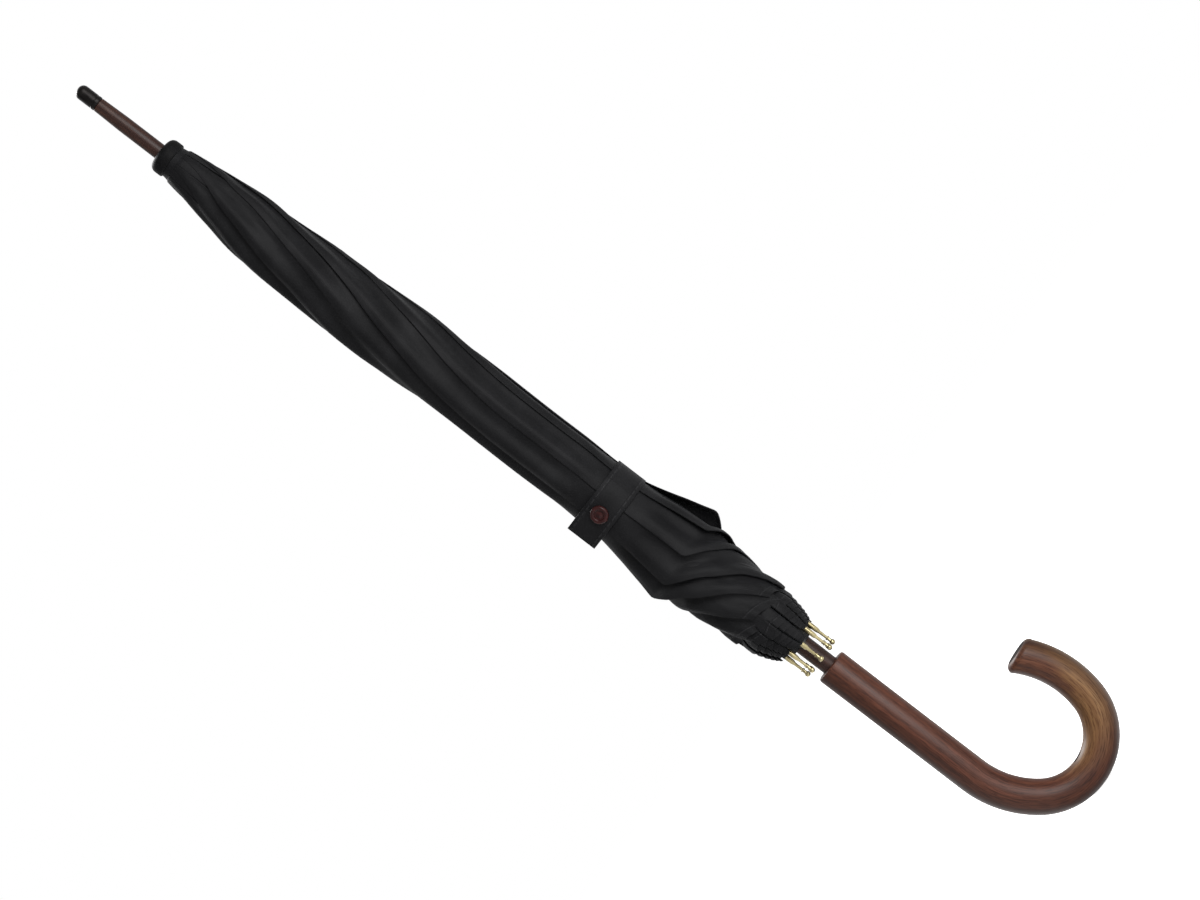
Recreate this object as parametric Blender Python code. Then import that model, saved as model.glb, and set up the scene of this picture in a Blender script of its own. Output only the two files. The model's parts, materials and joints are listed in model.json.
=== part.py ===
"""Stick umbrella with a wooden crook handle, furled and tied, standing tip up.

Metres, +Z up. The stick lies on the Z axis, the origin is in the middle of the hand grip, and the
crook bends towards +X. Each moving piece hangs on an empty that sits on its joint's axis.
"""

import math

import bmesh
import bpy
from mathutils import Matrix, Vector

for old_object in list(bpy.data.objects):
    bpy.data.objects.remove(old_object, do_unlink=True)

# How finely round shapes are drawn, and the angle from which an edge stays sharp
PIN_SIDES = 8
EYE_STEPS = 8
SHARP_ANGLE = math.radians(32.0)
HINGE_MARK = 0.01

# Fits
SEAT_GAP = 0.0003
SLIDE_GAP = 0.0003
LAP_GAP = 0.0003

# Frame of the umbrella
RIB_COUNT = 8
RIB_LENGTH = 0.578
RIB_END_GAP = 0.007
OPEN_ANGLE = math.radians(64.0)

# Stick
SHAFT_RADIUS = 0.0070
SHAFT_SIDES = 24
FERRULE_LENGTH = 0.0738
FERRULE_ROOT_RADIUS = 0.0058
FERRULE_END_RADIUS = 0.0053
TIP_CAP_LENGTH = 0.018
TIP_CAP_RADIUS = 0.0055
TIP_CAP_WALL = 0.0014
TIP_CAP_ROUND = 0.0022

# Handle: a grip whose lower end already leans into the crook, and three arcs of the crook
HANDLE_RADIUS = 0.0131
HANDLE_SIDES = 18
HANDLE_CHAMFER = 0.0016
GRIP_LENGTH = 0.1456
STRAIGHT_LENGTH = 0.1268
SOCKET_DEPTH = 0.045
EASE_RADIUS = 0.0762
EASE_ANGLE = math.radians(39.3)
EASE_STEPS = 4
CROOK_RADIUS = 0.0440
CROOK_ANGLE = math.radians(126.5)
CROOK_STEPS = 11
ARM_RADIUS = 0.0782
ARM_ANGLE = math.radians(41.0)
ARM_STEPS = 4
ARM_CUT_ANGLE = math.radians(22.4)
ARM_END_ROUND = 0.0050
ARM_END_STEPS = 3

# Runner and its crown
RUNNER_WALL = 0.0016
SLEEVE_LENGTH = 0.045
CROWN_HEIGHT = 0.008
CROWN_LAND = 0.0016
PARK_GAP = 0.025
WIRE_RADIUS = 0.0004
SLOT_GAP = 0.0003
KEYWAY_LIP = 0.0005
RUNNER_SIDES = 32
WIRE_SIDES = 6

# Top notch and the cap over it
NOTCH_HEIGHT = 0.012
NOTCH_WIRE_RADIUS = 0.0005
NOTCH_HUB = 0.0022
CAP_WALL = 0.0012
CAP_HEIGHT = 0.0110
CAP_LIFT = 0.0015
CAP_ROUND = 0.0040

# Ribs and stretchers
RIB_WIDTH = 0.0034
RIB_DEPTH = 0.0034
RIB_WALL = 0.0005
RIB_SETBACK = 0.0004
RIB_CHANNEL_START = 0.009
RIB_EYE_RADIUS = 0.0014
RIB_EYE_START = math.radians(20.0)
RIB_EYE_END = math.radians(190.0)
RIB_EYE_STEPS = 6
RIB_TAB_LENGTH = 0.010
BLADE_THICKNESS = 0.0016
RIVET_RADIUS = 0.00045
RIVET_HEAD_RADIUS = 0.0010
RIVET_HEAD_HEIGHT = 0.0005
RIVET_SETBACK = 0.00135
STRETCHER_DEPTH = 0.0020
STRETCHER_EYE_RADIUS = 0.0012
RIB_TIP_LENGTH = 0.030
RIB_TIP_RADIUS = 0.0018
RIB_TIP_NECK_RADIUS = 0.0012
RIB_TIP_BALL_RADIUS = 0.0021
RIB_TIP_BALL_END = math.radians(162.0)
RIB_TIP_BALL_STEPS = 4
RIB_TIP_SIDES = 10
RIB_SPIGOT_RADIUS = 0.0008
RIB_SPIGOT_LENGTH = 0.006

# Catches in the shaft
CATCH_ANGLE = math.radians(22.5)
CATCH_LENGTH = 0.024
CATCH_DEPTH = 0.0030
CATCH_THICKNESS = 0.0012
CATCH_NOSE_LENGTH = 0.007
CATCH_PIN_RADIUS = 0.0006
CATCH_PRESS = 0.0014
CATCH_SEAT = 0.012
STOP_PIN_RADIUS = 0.0010
STOP_PIN_REACH = 0.0010

# Furled canopy: how thick the rolled cloth is at each depth below the notch
CLOTH_STAND = 0.00045
CLOTH_THICKNESS = (
    (0.0010, 0.0010),
    (0.0100, 0.0011),
    (0.0400, 0.0050),
    (0.0750, 0.0090),
    (0.1150, 0.0098),
    (0.1900, 0.0112),
    (0.2600, 0.0100),
    (0.3900, 0.0096),
    (0.4580, 0.0112),
    (0.4940, 0.0106),
    (0.5390, 0.0074),
    (0.5640, 0.0030),
)
LAP_STEP = 0.0018
LAP_TAIL = 0.0018
TWIST_START = 0.6
TWIST_TURNS = 2.4
TWIST_DEPTH = 0.260
CORNER_DEPTH = 0.458
CORNER_FLARE = 0.0115
CORNER_RISE = 0.050
CORNER_FALL = 0.022
TAIL_HEM = 0.012
SIDE_HEM = 0.026
HEM_RISE = 0.0215
GORE_ROW_DEPTHS = (0.022, 0.150, 0.220, 0.320)
HEM_ROW_SHARES = (0.2, 0.45, 0.7, 0.88, 1.0)
LAP_POINTS = 5
LAP_SHARE = 3

# Tie strap
STRAP_DEPTH = 0.390
STRAP_WIDTH = 0.024
STRAP_THICKNESS = 0.0010
STRAP_SIDES = 32
TAB_START_ANGLE = math.radians(-62.0)
TAB_LEAVE_ANGLE = math.radians(-125.0)
TAB_FREE_LENGTH = 0.020
TAB_STEPS = 6
SNAP_ANGLE = math.radians(-116.0)
SNAP_RADIUS = 0.0068
SNAP_HEIGHT = 0.0024
SNAP_SIDES = 20
SNAP_PROFILE = ((1.0, 0.0), (1.0, 0.33), (0.8, 0.8), (0.4, 1.0))

# Places and sizes worked out from the dimensions above
RUNNER_BORE = SHAFT_RADIUS + SLIDE_GAP
SLEEVE_RADIUS = RUNNER_BORE + RUNNER_WALL
PIVOT_RADIUS = SLEEVE_RADIUS + SEAT_GAP + STRETCHER_EYE_RADIUS
CROWN_RADIUS = PIVOT_RADIUS + CROWN_LAND
SLOT_WIDTH = BLADE_THICKNESS + 2 * SLOT_GAP
CAP_INNER_RADIUS = CROWN_RADIUS + SEAT_GAP
CAP_RADIUS = CAP_INNER_RADIUS + CAP_WALL

HANDLE_TOP = GRIP_LENGTH / 2
HANDLE_BENDS = (
    (EASE_RADIUS, EASE_ANGLE, EASE_STEPS),
    (CROOK_RADIUS, CROOK_ANGLE, CROOK_STEPS),
    (ARM_RADIUS, ARM_ANGLE, ARM_STEPS),
)
NOTCH_HEIGHT_ON_AXIS = HANDLE_TOP + RIB_END_GAP + RIB_LENGTH
CAP_BOTTOM = NOTCH_HEIGHT_ON_AXIS + CAP_LIFT
CAP_TOP = CAP_BOTTOM + CAP_HEIGHT
STICK_END = CAP_TOP + FERRULE_LENGTH

RUNNER_BOTTOM = HANDLE_TOP + PARK_GAP
CROWN_MIDDLE = RUNNER_BOTTOM + SLEEVE_LENGTH + CROWN_HEIGHT / 2
PIVOT_DROP = NOTCH_HEIGHT_ON_AXIS - CROWN_MIDDLE
RIB_INNER = -RIB_SETBACK
RIB_OUTER = RIB_DEPTH - RIB_SETBACK
RIB_MIDDLE = (RIB_INNER + RIB_OUTER) / 2
RIB_SPREAD = math.atan2(
    CROWN_RADIUS + SEAT_GAP - PIVOT_RADIUS - RIB_INNER,
    PIVOT_DROP - CROWN_HEIGHT / 2,
)
RIVET_IN_RIB = RIB_INNER + RIVET_SETBACK
RIVET_DEPTH = (PIVOT_DROP / 2 + RIVET_IN_RIB * math.sin(RIB_SPREAD)) / math.cos(RIB_SPREAD)
RIVET_OFFSET = RIVET_IN_RIB * math.cos(RIB_SPREAD) + RIVET_DEPTH * math.sin(RIB_SPREAD)
STRETCHER_LENGTH = math.hypot(RIVET_OFFSET, PIVOT_DROP / 2)
CLOSED_ANGLE = math.atan2(RIVET_OFFSET, PIVOT_DROP / 2)
RUNNER_TRAVEL = 2 * STRETCHER_LENGTH * (math.cos(CLOSED_ANGLE) - math.cos(CLOSED_ANGLE + OPEN_ANGLE))
RIB_ANGLES = [2 * math.pi * i / RIB_COUNT for i in range(RIB_COUNT)]
SECTOR = 2 * math.pi / RIB_COUNT

CATCH_PIN_OUT = SHAFT_RADIUS - CATCH_DEPTH / 2 - SEAT_GAP
CATCH_NOSE_OUT = SLEEVE_RADIUS - KEYWAY_LIP - SLIDE_GAP
BOTTOM_CATCH_PIN = RUNNER_BOTTOM + CATCH_SEAT + CATCH_LENGTH
TOP_CATCH_PIN = RUNNER_BOTTOM + RUNNER_TRAVEL - SEAT_GAP - CATCH_LENGTH
STOP_PIN_PLACE = CROWN_MIDDLE + CROWN_HEIGHT / 2 + RUNNER_TRAVEL + SEAT_GAP + STOP_PIN_RADIUS


def finish(name, colour, roughness, metallic=0.0):
    """A plain Principled material."""
    material = bpy.data.materials.new(name)
    material.use_nodes = True
    shader = material.node_tree.nodes["Principled BSDF"]
    shader.inputs["Base Color"].default_value = (*colour, 1.0)
    shader.inputs["Roughness"].default_value = roughness
    shader.inputs["Metallic"].default_value = metallic
    return material


def circle(radius, height, sides, centre=(0.0, 0.0)):
    """Points of a level circle."""
    turns = [2 * math.pi * i / sides for i in range(sides)]
    return [
        Vector((centre[0] + radius * math.cos(t), centre[1] + radius * math.sin(t), height)) for t in turns
    ]


def loft(rings, joined=False):
    """One closed skin through rings of equal count, with flat ends, or joined end to end round a bore."""
    skin = bmesh.new()
    loops = [[skin.verts.new(point) for point in ring] for ring in rings]
    pairs = list(zip(loops, loops[1:]))
    if joined:
        pairs.append((loops[-1], loops[0]))
    for lower, upper in pairs:
        for i in range(len(lower)):
            j = (i + 1) % len(lower)
            skin.faces.new((lower[i], lower[j], upper[j], upper[i]))
    if not joined:
        skin.faces.new(loops[0])
        skin.faces.new(loops[-1])
    bmesh.ops.recalc_face_normals(skin, faces=skin.faces)
    return skin


def turned(profile, sides, joined=False):
    """A solid turned round Z from (radius, height) pairs."""
    return loft([circle(radius, height, sides) for radius, height in profile], joined)


def block(low, high):
    """A rectangular block between two corners."""
    corners = [(low[0], low[1]), (high[0], low[1]), (high[0], high[1]), (low[0], high[1])]
    return loft([[Vector((x, y, z)) for x, y in corners] for z in (low[2], high[2])])


def cross_pin(stations, sides, place=(0.0, 0.0)):
    """A round pin along Y through (x, z), from (y, radius) pairs."""
    turns = [2 * math.pi * i / sides for i in range(sides)]
    return loft(
        [
            [Vector((place[0] + r * math.cos(t), y, place[1] + r * math.sin(t))) for t in turns]
            for y, r in stations
        ]
    )


def plate(outline, hole, half_thickness):
    """A flat plate in the XZ plane with one round hole, (x, z) pairs in order."""
    skin = bmesh.new()
    edges = {-1: [], 1: []}
    for loop in (outline, hole):
        sides = {}
        for side in (-1, 1):
            sides[side] = [skin.verts.new((x, side * half_thickness, z)) for x, z in loop]
            for i in range(len(loop)):
                edges[side].append(skin.edges.new((sides[side][i - 1], sides[side][i])))
        for i in range(len(loop)):
            skin.faces.new((sides[-1][i - 1], sides[-1][i], sides[1][i], sides[1][i - 1]))
    for side in (-1, 1):
        bmesh.ops.triangle_fill(skin, use_beauty=True, edges=edges[side])
    bmesh.ops.recalc_face_normals(skin, faces=skin.faces)
    return skin


def arc(centre, radius, start, end, steps):
    """(x, z) points on an arc, angles from +X towards +Z."""
    angles = [start + (end - start) * i / steps for i in range(steps + 1)]
    return [(centre[0] + radius * math.cos(a), centre[1] + radius * math.sin(a)) for a in angles]


def ring_of_points(centre, radius, sides):
    """(x, z) points of a whole circle."""
    return arc(centre, radius, 0.0, 2 * math.pi * (sides - 1) / sides, sides - 1)


def mesh_from(name, skin):
    """A mesh shaded smooth with its sharp edges kept."""
    data = bpy.data.meshes.new(name)
    skin.to_mesh(data)
    skin.free()
    data.shade_smooth()
    data.set_sharp_from_angle(angle=SHARP_ANGLE)
    return data


def place_object(name, data, material, holder=None, matrix=None):
    """A named object; its matrix is given in its holder's space."""
    thing = bpy.data.objects.new(name, data)
    bpy.context.collection.objects.link(thing)
    thing.parent = holder
    if matrix is not None:
        thing.matrix_local = matrix
    if material is not None and not data.materials:
        data.materials.append(material)
    return thing


def hinge_empty(name, matrix):
    """An empty on a joint's axis."""
    empty = bpy.data.objects.new(name, None)
    empty.empty_display_size = HINGE_MARK
    bpy.context.collection.objects.link(empty)
    empty.matrix_local = matrix
    return empty


def cutter(name, skin, matrix=None):
    """A hidden tool for a Boolean."""
    tool = place_object(name, mesh_from(name, skin), None, None, matrix)
    tool.hide_render = True
    tool.display_type = "WIRE"
    return tool


def apply_tool(thing, tool, operation):
    """Adds a Boolean that stays on the object."""
    boolean = thing.modifiers.new(tool.name, "BOOLEAN")
    boolean.operation = operation
    boolean.object = tool
    boolean.solver = "EXACT"


def made_once(thing, tools):
    """The finished mesh of an object with Booleans, for copies to share; the object and its tools go."""
    bpy.context.view_layer.update()
    graph = bpy.context.evaluated_depsgraph_get()
    data = bpy.data.meshes.new_from_object(thing.evaluated_get(graph))
    data.name = thing.name
    for used in [thing, *tools]:
        bpy.data.objects.remove(used, do_unlink=True)
    return data


def turn_z(angle):
    """A turn about the stick."""
    return Matrix.Rotation(angle, 4, "Z")


STAINED_WOOD = finish("stained_wood", (0.115, 0.042, 0.022), 0.35)
SHAFT_WOOD = finish("shaft_wood", (0.13, 0.05, 0.026), 0.42)
DARK_METAL = finish("dark_metal", (0.06, 0.06, 0.065), 0.38, 1.0)
STEEL = finish("black_steel", (0.05, 0.05, 0.055), 0.4, 1.0)
BRASS = finish("brass", (0.72, 0.55, 0.25), 0.28, 1.0)
RUNNER_ENAMEL = finish("black_enamel", (0.02, 0.02, 0.021), 0.35)
CLOTH = finish("black_cloth", (0.012, 0.012, 0.013), 0.8)
SNAP = finish("snap_lacquer", (0.06, 0.016, 0.014), 0.3)


def make_stick():
    """Shaft with its turned ferrule, the metal cap on its end, and the pins through it."""
    socket_end = HANDLE_TOP - SOCKET_DEPTH + SEAT_GAP
    shoulder = NOTCH_HEIGHT_ON_AXIS - NOTCH_HEIGHT / 2 - SEAT_GAP
    cap_seat = STICK_END - TIP_CAP_LENGTH
    spigot = TIP_CAP_RADIUS - TIP_CAP_WALL - SEAT_GAP
    shaft = place_object(
        "shaft",
        mesh_from(
            "shaft",
            turned(
                [
                    (SHAFT_RADIUS, socket_end),
                    (SHAFT_RADIUS, shoulder),
                    (FERRULE_ROOT_RADIUS, shoulder),
                    (FERRULE_END_RADIUS, cap_seat - SEAT_GAP),
                    (spigot, cap_seat - SEAT_GAP),
                    (spigot, STICK_END - TIP_CAP_WALL - SEAT_GAP),
                ],
                SHAFT_SIDES,
            ),
        ),
        SHAFT_WOOD,
    )
    make_catch(shaft, "top_catch", TOP_CATCH_PIN, Matrix())
    make_catch(shaft, "bottom_catch", BOTTOM_CATCH_PIN, Matrix.Rotation(math.pi, 4, "X"))
    reach = SHAFT_RADIUS + STOP_PIN_REACH
    hole = STOP_PIN_RADIUS + SEAT_GAP
    place = (0.0, STOP_PIN_PLACE)
    drill = cross_pin([(-2 * reach, hole), (2 * reach, hole)], PIN_SIDES, place)
    apply_tool(shaft, cutter("stop_pin_hole", drill), "DIFFERENCE")
    pin = cross_pin([(-reach, STOP_PIN_RADIUS), (reach, STOP_PIN_RADIUS)], PIN_SIDES, place)
    place_object("stop_pin", mesh_from("stop_pin", pin), STEEL)
    bore = TIP_CAP_RADIUS - TIP_CAP_WALL
    flat = TIP_CAP_RADIUS - TIP_CAP_ROUND
    dome = [
        (
            flat + TIP_CAP_ROUND * math.cos(a),
            STICK_END - TIP_CAP_ROUND + TIP_CAP_ROUND * math.sin(a),
        )
        for a in (0.0, math.pi / 6, math.pi / 3, math.pi / 2)
    ]
    profile = [(bore, STICK_END - TIP_CAP_WALL), (bore, cap_seat), (TIP_CAP_RADIUS, cap_seat), *dome]
    place_object("ferrule_tip", mesh_from("ferrule_tip", turned(profile, SHAFT_SIDES)), DARK_METAL)


def make_catch(shaft, name, pin_place, way):
    """A sprung lever in a slot of the shaft, on a cross pin, with a nose that holds the runner."""
    at_pin = turn_z(CATCH_ANGLE) @ Matrix.Translation((CATCH_PIN_OUT, 0.0, pin_place)) @ way
    holder = hinge_empty(name + "_hinge", at_pin)
    back = -CATCH_DEPTH / 2
    front = CATCH_DEPTH / 2
    nose = CATCH_NOSE_OUT - CATCH_PIN_OUT
    heel = -CATCH_DEPTH / 2
    outline = [
        (back, heel),
        (front, heel),
        (front, CATCH_LENGTH - CATCH_NOSE_LENGTH),
        (nose, CATCH_LENGTH - CATCH_NOSE_LENGTH / 3),
        (nose, CATCH_LENGTH),
        (0.0, CATCH_LENGTH),
        (back, CATCH_LENGTH / 3),
    ]
    hole = ring_of_points((0.0, 0.0), CATCH_PIN_RADIUS + SEAT_GAP, PIN_SIDES)
    place_object(name, mesh_from(name, plate(outline, hole, CATCH_THICKNESS / 2)), STEEL, holder)
    slot_half = CATCH_THICKNESS / 2 + SEAT_GAP
    slot = block(
        (back - CATCH_PRESS - SEAT_GAP, -slot_half, heel - SEAT_GAP),
        (SHAFT_RADIUS, slot_half, CATCH_LENGTH + SEAT_GAP),
    )
    apply_tool(shaft, cutter(name + "_slot", slot, at_pin), "DIFFERENCE")
    drill = CATCH_PIN_RADIUS + SEAT_GAP
    bore = cross_pin([(-2 * SHAFT_RADIUS, drill), (2 * SHAFT_RADIUS, drill)], PIN_SIDES)
    apply_tool(shaft, cutter(name + "_pin_hole", bore, at_pin), "DIFFERENCE")
    reach = math.sqrt(SHAFT_RADIUS**2 - CATCH_PIN_OUT**2) - CATCH_PIN_RADIUS
    pin = cross_pin([(-reach, CATCH_PIN_RADIUS), (reach, CATCH_PIN_RADIUS)], PIN_SIDES)
    place_object(name + "_pin", mesh_from(name + "_pin", pin), STEEL, None, at_pin)


def make_handle():
    """Crook handle: a grip with a socket for the shaft, a crook of three arcs and a rounded sawn end."""
    socket = SHAFT_RADIUS + SEAT_GAP
    rings = [
        circle(socket, HANDLE_TOP - SOCKET_DEPTH, HANDLE_SIDES),
        circle(socket, HANDLE_TOP, HANDLE_SIDES),
        circle(HANDLE_RADIUS - HANDLE_CHAMFER, HANDLE_TOP, HANDLE_SIDES),
        circle(HANDLE_RADIUS, HANDLE_TOP - HANDLE_CHAMFER, HANDLE_SIDES),
    ]
    bend = 0.0
    place = Vector((0.0, 0.0, HANDLE_TOP - STRAIGHT_LENGTH))
    rings.append(bar_ring(place, bend, HANDLE_RADIUS))
    for bend_radius, bend_angle, steps in HANDLE_BENDS:
        centre = place - bend_radius * outward(bend)
        for step in range(1, steps + 1):
            part_bend = bend + bend_angle * step / steps
            place = centre + bend_radius * outward(part_bend)
            rings.append(bar_ring(place, part_bend, HANDLE_RADIUS))
        bend += bend_angle
    along = Vector((math.sin(bend), 0.0, -math.cos(bend)))
    normal = Matrix.Rotation(ARM_CUT_ANGLE, 3, "Y") @ along
    rings.pop()
    for step in range(ARM_END_STEPS + 1):
        turn = math.pi / 2 * step / ARM_END_STEPS
        ring = bar_ring(place, bend, HANDLE_RADIUS - ARM_END_ROUND * (1 - math.cos(turn)))
        rise = normal * (ARM_END_ROUND * math.sin(turn))
        rings.append([point + rise for point in cut_ring(ring, place, along, normal)])
    place_object("handle", mesh_from("handle", loft(rings)), STAINED_WOOD)


def outward(bend):
    """Direction away from the inside of the crook; bend 0 is at the grip and grows round the crook."""
    return Vector((-math.cos(bend), 0.0, -math.sin(bend)))


def bar_ring(middle, bend, radius):
    """A ring square to the handle's bar."""
    turns = [2 * math.pi * i / HANDLE_SIDES for i in range(HANDLE_SIDES)]
    across = Vector((0.0, radius, 0.0))
    return [middle - radius * math.cos(t) * outward(bend) + math.sin(t) * across for t in turns]


def cut_ring(ring, middle, along, normal):
    """The ring moved along the bar onto a plane that is nearly level, as the arm's end is sawn."""
    return [point + along * ((middle - point).dot(normal) / along.dot(normal)) for point in ring]


def slots(name, inner, low, high):
    """Eight radial slots for blades, as one tool."""
    tool = bmesh.new()
    for angle in RIB_ANGLES:
        one = block((inner, -SLOT_WIDTH / 2, low), (2 * CROWN_RADIUS, SLOT_WIDTH / 2, high))
        one.transform(turn_z(angle))
        data = bpy.data.meshes.new(name)
        one.to_mesh(data)
        one.free()
        tool.from_mesh(data)
        bpy.data.meshes.remove(data)
    return cutter(name, tool)


def wire_ring(ring_radius, wire_radius, height):
    """A closed ring of round wire."""
    section = [2 * math.pi * k / WIRE_SIDES for k in range(WIRE_SIDES)]
    outline = [
        Vector((ring_radius + wire_radius * math.cos(a), 0.0, height + wire_radius * math.sin(a)))
        for a in section
    ]
    turns = [turn_z(2 * math.pi * i / RUNNER_SIDES) for i in range(RUNNER_SIDES)]
    return loft([[turn @ point for point in outline] for turn in turns], joined=True)


def make_notch():
    """Slotted crown on the shaft's shoulder, the hinge wire in its groove, and the cap over both."""
    low = NOTCH_HEIGHT_ON_AXIS - NOTCH_HEIGHT / 2
    high = NOTCH_HEIGHT_ON_AXIS + NOTCH_HEIGHT / 2
    bore = FERRULE_ROOT_RADIUS + SEAT_GAP
    groove = NOTCH_WIRE_RADIUS + SEAT_GAP
    floor = NOTCH_HEIGHT_ON_AXIS - groove
    notch = place_object(
        "top_notch",
        mesh_from(
            "top_notch",
            turned(
                [
                    (bore, low),
                    (CROWN_RADIUS, low),
                    (CROWN_RADIUS, high),
                    (PIVOT_RADIUS + groove, high),
                    (PIVOT_RADIUS + groove, floor),
                    (PIVOT_RADIUS - groove, floor),
                    (PIVOT_RADIUS - groove, high),
                    (bore, high),
                ],
                RUNNER_SIDES,
                joined=True,
            ),
        ),
        RUNNER_ENAMEL,
    )
    blades = slots("notch_slots", bore + NOTCH_HUB, low - NOTCH_HEIGHT, high + NOTCH_HEIGHT)
    apply_tool(notch, blades, "DIFFERENCE")
    place_object(
        "notch_wire",
        mesh_from("notch_wire", wire_ring(PIVOT_RADIUS, NOTCH_WIRE_RADIUS, NOTCH_HEIGHT_ON_AXIS)),
        STEEL,
    )
    ceiling = high + SEAT_GAP
    collar = FERRULE_ROOT_RADIUS + SEAT_GAP
    dome = [
        (CAP_RADIUS - CAP_ROUND + CAP_ROUND * math.cos(a), CAP_TOP - CAP_ROUND + CAP_ROUND * math.sin(a))
        for a in (0.0, math.pi / 5, 2 * math.pi / 5)
    ]
    place_object(
        "cap_ring",
        mesh_from(
            "cap_ring",
            turned(
                [
                    (CAP_INNER_RADIUS, CAP_BOTTOM),
                    (CAP_RADIUS - CAP_WALL / 3, CAP_BOTTOM),
                    *dome,
                    (collar, CAP_TOP),
                    (collar, ceiling),
                    (CAP_INNER_RADIUS, ceiling),
                ],
                RUNNER_SIDES,
                joined=True,
            ),
        ),
        CLOTH,
    )


def make_runner():
    """Sliding sleeve with a slotted crown, a keyway that passes the catches, and its wire."""
    holder = hinge_empty("runner_slide", Matrix.Translation((0.0, 0.0, CROWN_MIDDLE)))
    top = CROWN_HEIGHT / 2
    bottom = -CROWN_HEIGHT / 2 - SLEEVE_LENGTH
    groove_inner = SLEEVE_RADIUS - 2 * WIRE_RADIUS - SEAT_GAP
    wire_place = groove_inner + SEAT_GAP + WIRE_RADIUS
    groove_outer = wire_place + WIRE_RADIUS + SEAT_GAP
    groove_floor = top - 2 * WIRE_RADIUS - 2 * SEAT_GAP
    runner = place_object(
        "runner",
        mesh_from(
            "runner",
            turned(
                [
                    (RUNNER_BORE, bottom),
                    (SLEEVE_RADIUS, bottom),
                    (SLEEVE_RADIUS, -CROWN_HEIGHT / 2),
                    (CROWN_RADIUS, -CROWN_HEIGHT / 2),
                    (CROWN_RADIUS, top),
                    (groove_outer, top),
                    (groove_outer, groove_floor),
                    (groove_inner, groove_floor),
                    (groove_inner, top),
                    (RUNNER_BORE, top),
                ],
                RUNNER_SIDES,
                joined=True,
            ),
        ),
        RUNNER_ENAMEL,
        holder,
    )
    blades = slots("runner_slots", SLEEVE_RADIUS, -CROWN_HEIGHT, CROWN_HEIGHT)
    blades.parent = holder
    apply_tool(runner, blades, "DIFFERENCE")
    half = CATCH_THICKNESS / 2 + 2 * SEAT_GAP
    keyway = cutter(
        "runner_keyway",
        block((0.0, -half, 2 * bottom), (SLEEVE_RADIUS - KEYWAY_LIP, half, CROWN_HEIGHT)),
        turn_z(CATCH_ANGLE),
    )
    keyway.parent = holder
    apply_tool(runner, keyway, "DIFFERENCE")
    nose_low = bottom + CATCH_SEAT
    window = cutter(
        "runner_window",
        block((0.0, -half, nose_low - SEAT_GAP), (2 * SLEEVE_RADIUS, half, nose_low + CATCH_NOSE_LENGTH)),
        turn_z(CATCH_ANGLE),
    )
    window.parent = holder
    apply_tool(runner, window, "DIFFERENCE")
    wire = wire_ring(wire_place, WIRE_RADIUS, groove_floor + SEAT_GAP + WIRE_RADIUS)
    place_object("runner_wire", mesh_from("runner_wire", wire), STEEL, holder)


def rib_mesh():
    """Channel section rib, hanging down from its hinge: eye, channel, rivet hole and end spigot."""
    half = RIB_WIDTH / 2
    inner_half = half - RIB_WALL
    section = [
        (RIB_INNER, -half),
        (RIB_OUTER, -half),
        (RIB_OUTER, half),
        (RIB_INNER, half),
        (RIB_INNER, inner_half),
        (RIB_OUTER - RIB_WALL, inner_half),
        (RIB_OUTER - RIB_WALL, -inner_half),
        (RIB_INNER, -inner_half),
    ]
    channel_end = RIB_LENGTH - RIB_TIP_LENGTH
    ends = (-channel_end, -RIB_CHANNEL_START)
    channel = place_object(
        "rib",
        mesh_from("rib", loft([[Vector((x, y, z)) for x, y in section] for z in ends])),
        STEEL,
    )
    tab_out = RIB_OUTER - RIB_WALL / 2
    tab_end = -RIB_CHANNEL_START - RIB_TAB_LENGTH
    outline = arc((0.0, 0.0), RIB_EYE_RADIUS, RIB_EYE_START, RIB_EYE_END, RIB_EYE_STEPS)
    outline += [
        (RIB_INNER, -RIB_CHANNEL_START),
        (RIB_INNER, tab_end),
        (tab_out, tab_end),
        (tab_out, -RIB_CHANNEL_START),
    ]
    eye_hole = ring_of_points((0.0, 0.0), NOTCH_WIRE_RADIUS + SEAT_GAP, PIN_SIDES)
    eye = cutter("rib_eye", plate(outline, eye_hole, BLADE_THICKNESS / 2))
    plug = cutter(
        "rib_plug",
        block(
            (RIB_INNER + RIB_WALL / 2, RIB_WALL / 2 - half, -channel_end + RIB_WALL),
            (RIB_OUTER - RIB_WALL / 2, half - RIB_WALL / 2, -channel_end + RIB_SPIGOT_LENGTH),
        ),
    )
    spigot_end = -channel_end - RIB_SPIGOT_LENGTH
    spigot = cutter(
        "rib_spigot",
        loft(
            [
                circle(RIB_SPIGOT_RADIUS, z, PIN_SIDES, (RIB_MIDDLE, 0.0))
                for z in (spigot_end, -channel_end + RIB_SPIGOT_LENGTH / 2)
            ]
        ),
    )
    rivet_bore = RIVET_RADIUS + SEAT_GAP
    rivet_place = (RIVET_IN_RIB, -RIVET_DEPTH)
    rivet_hole = cross_pin([(-RIB_WIDTH, rivet_bore), (RIB_WIDTH, rivet_bore)], PIN_SIDES, rivet_place)
    drill = cutter("rib_drill", rivet_hole)
    for tool in (eye, plug, spigot):
        apply_tool(channel, tool, "UNION")
    apply_tool(channel, drill, "DIFFERENCE")
    return made_once(channel, [eye, plug, spigot, drill])


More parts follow.
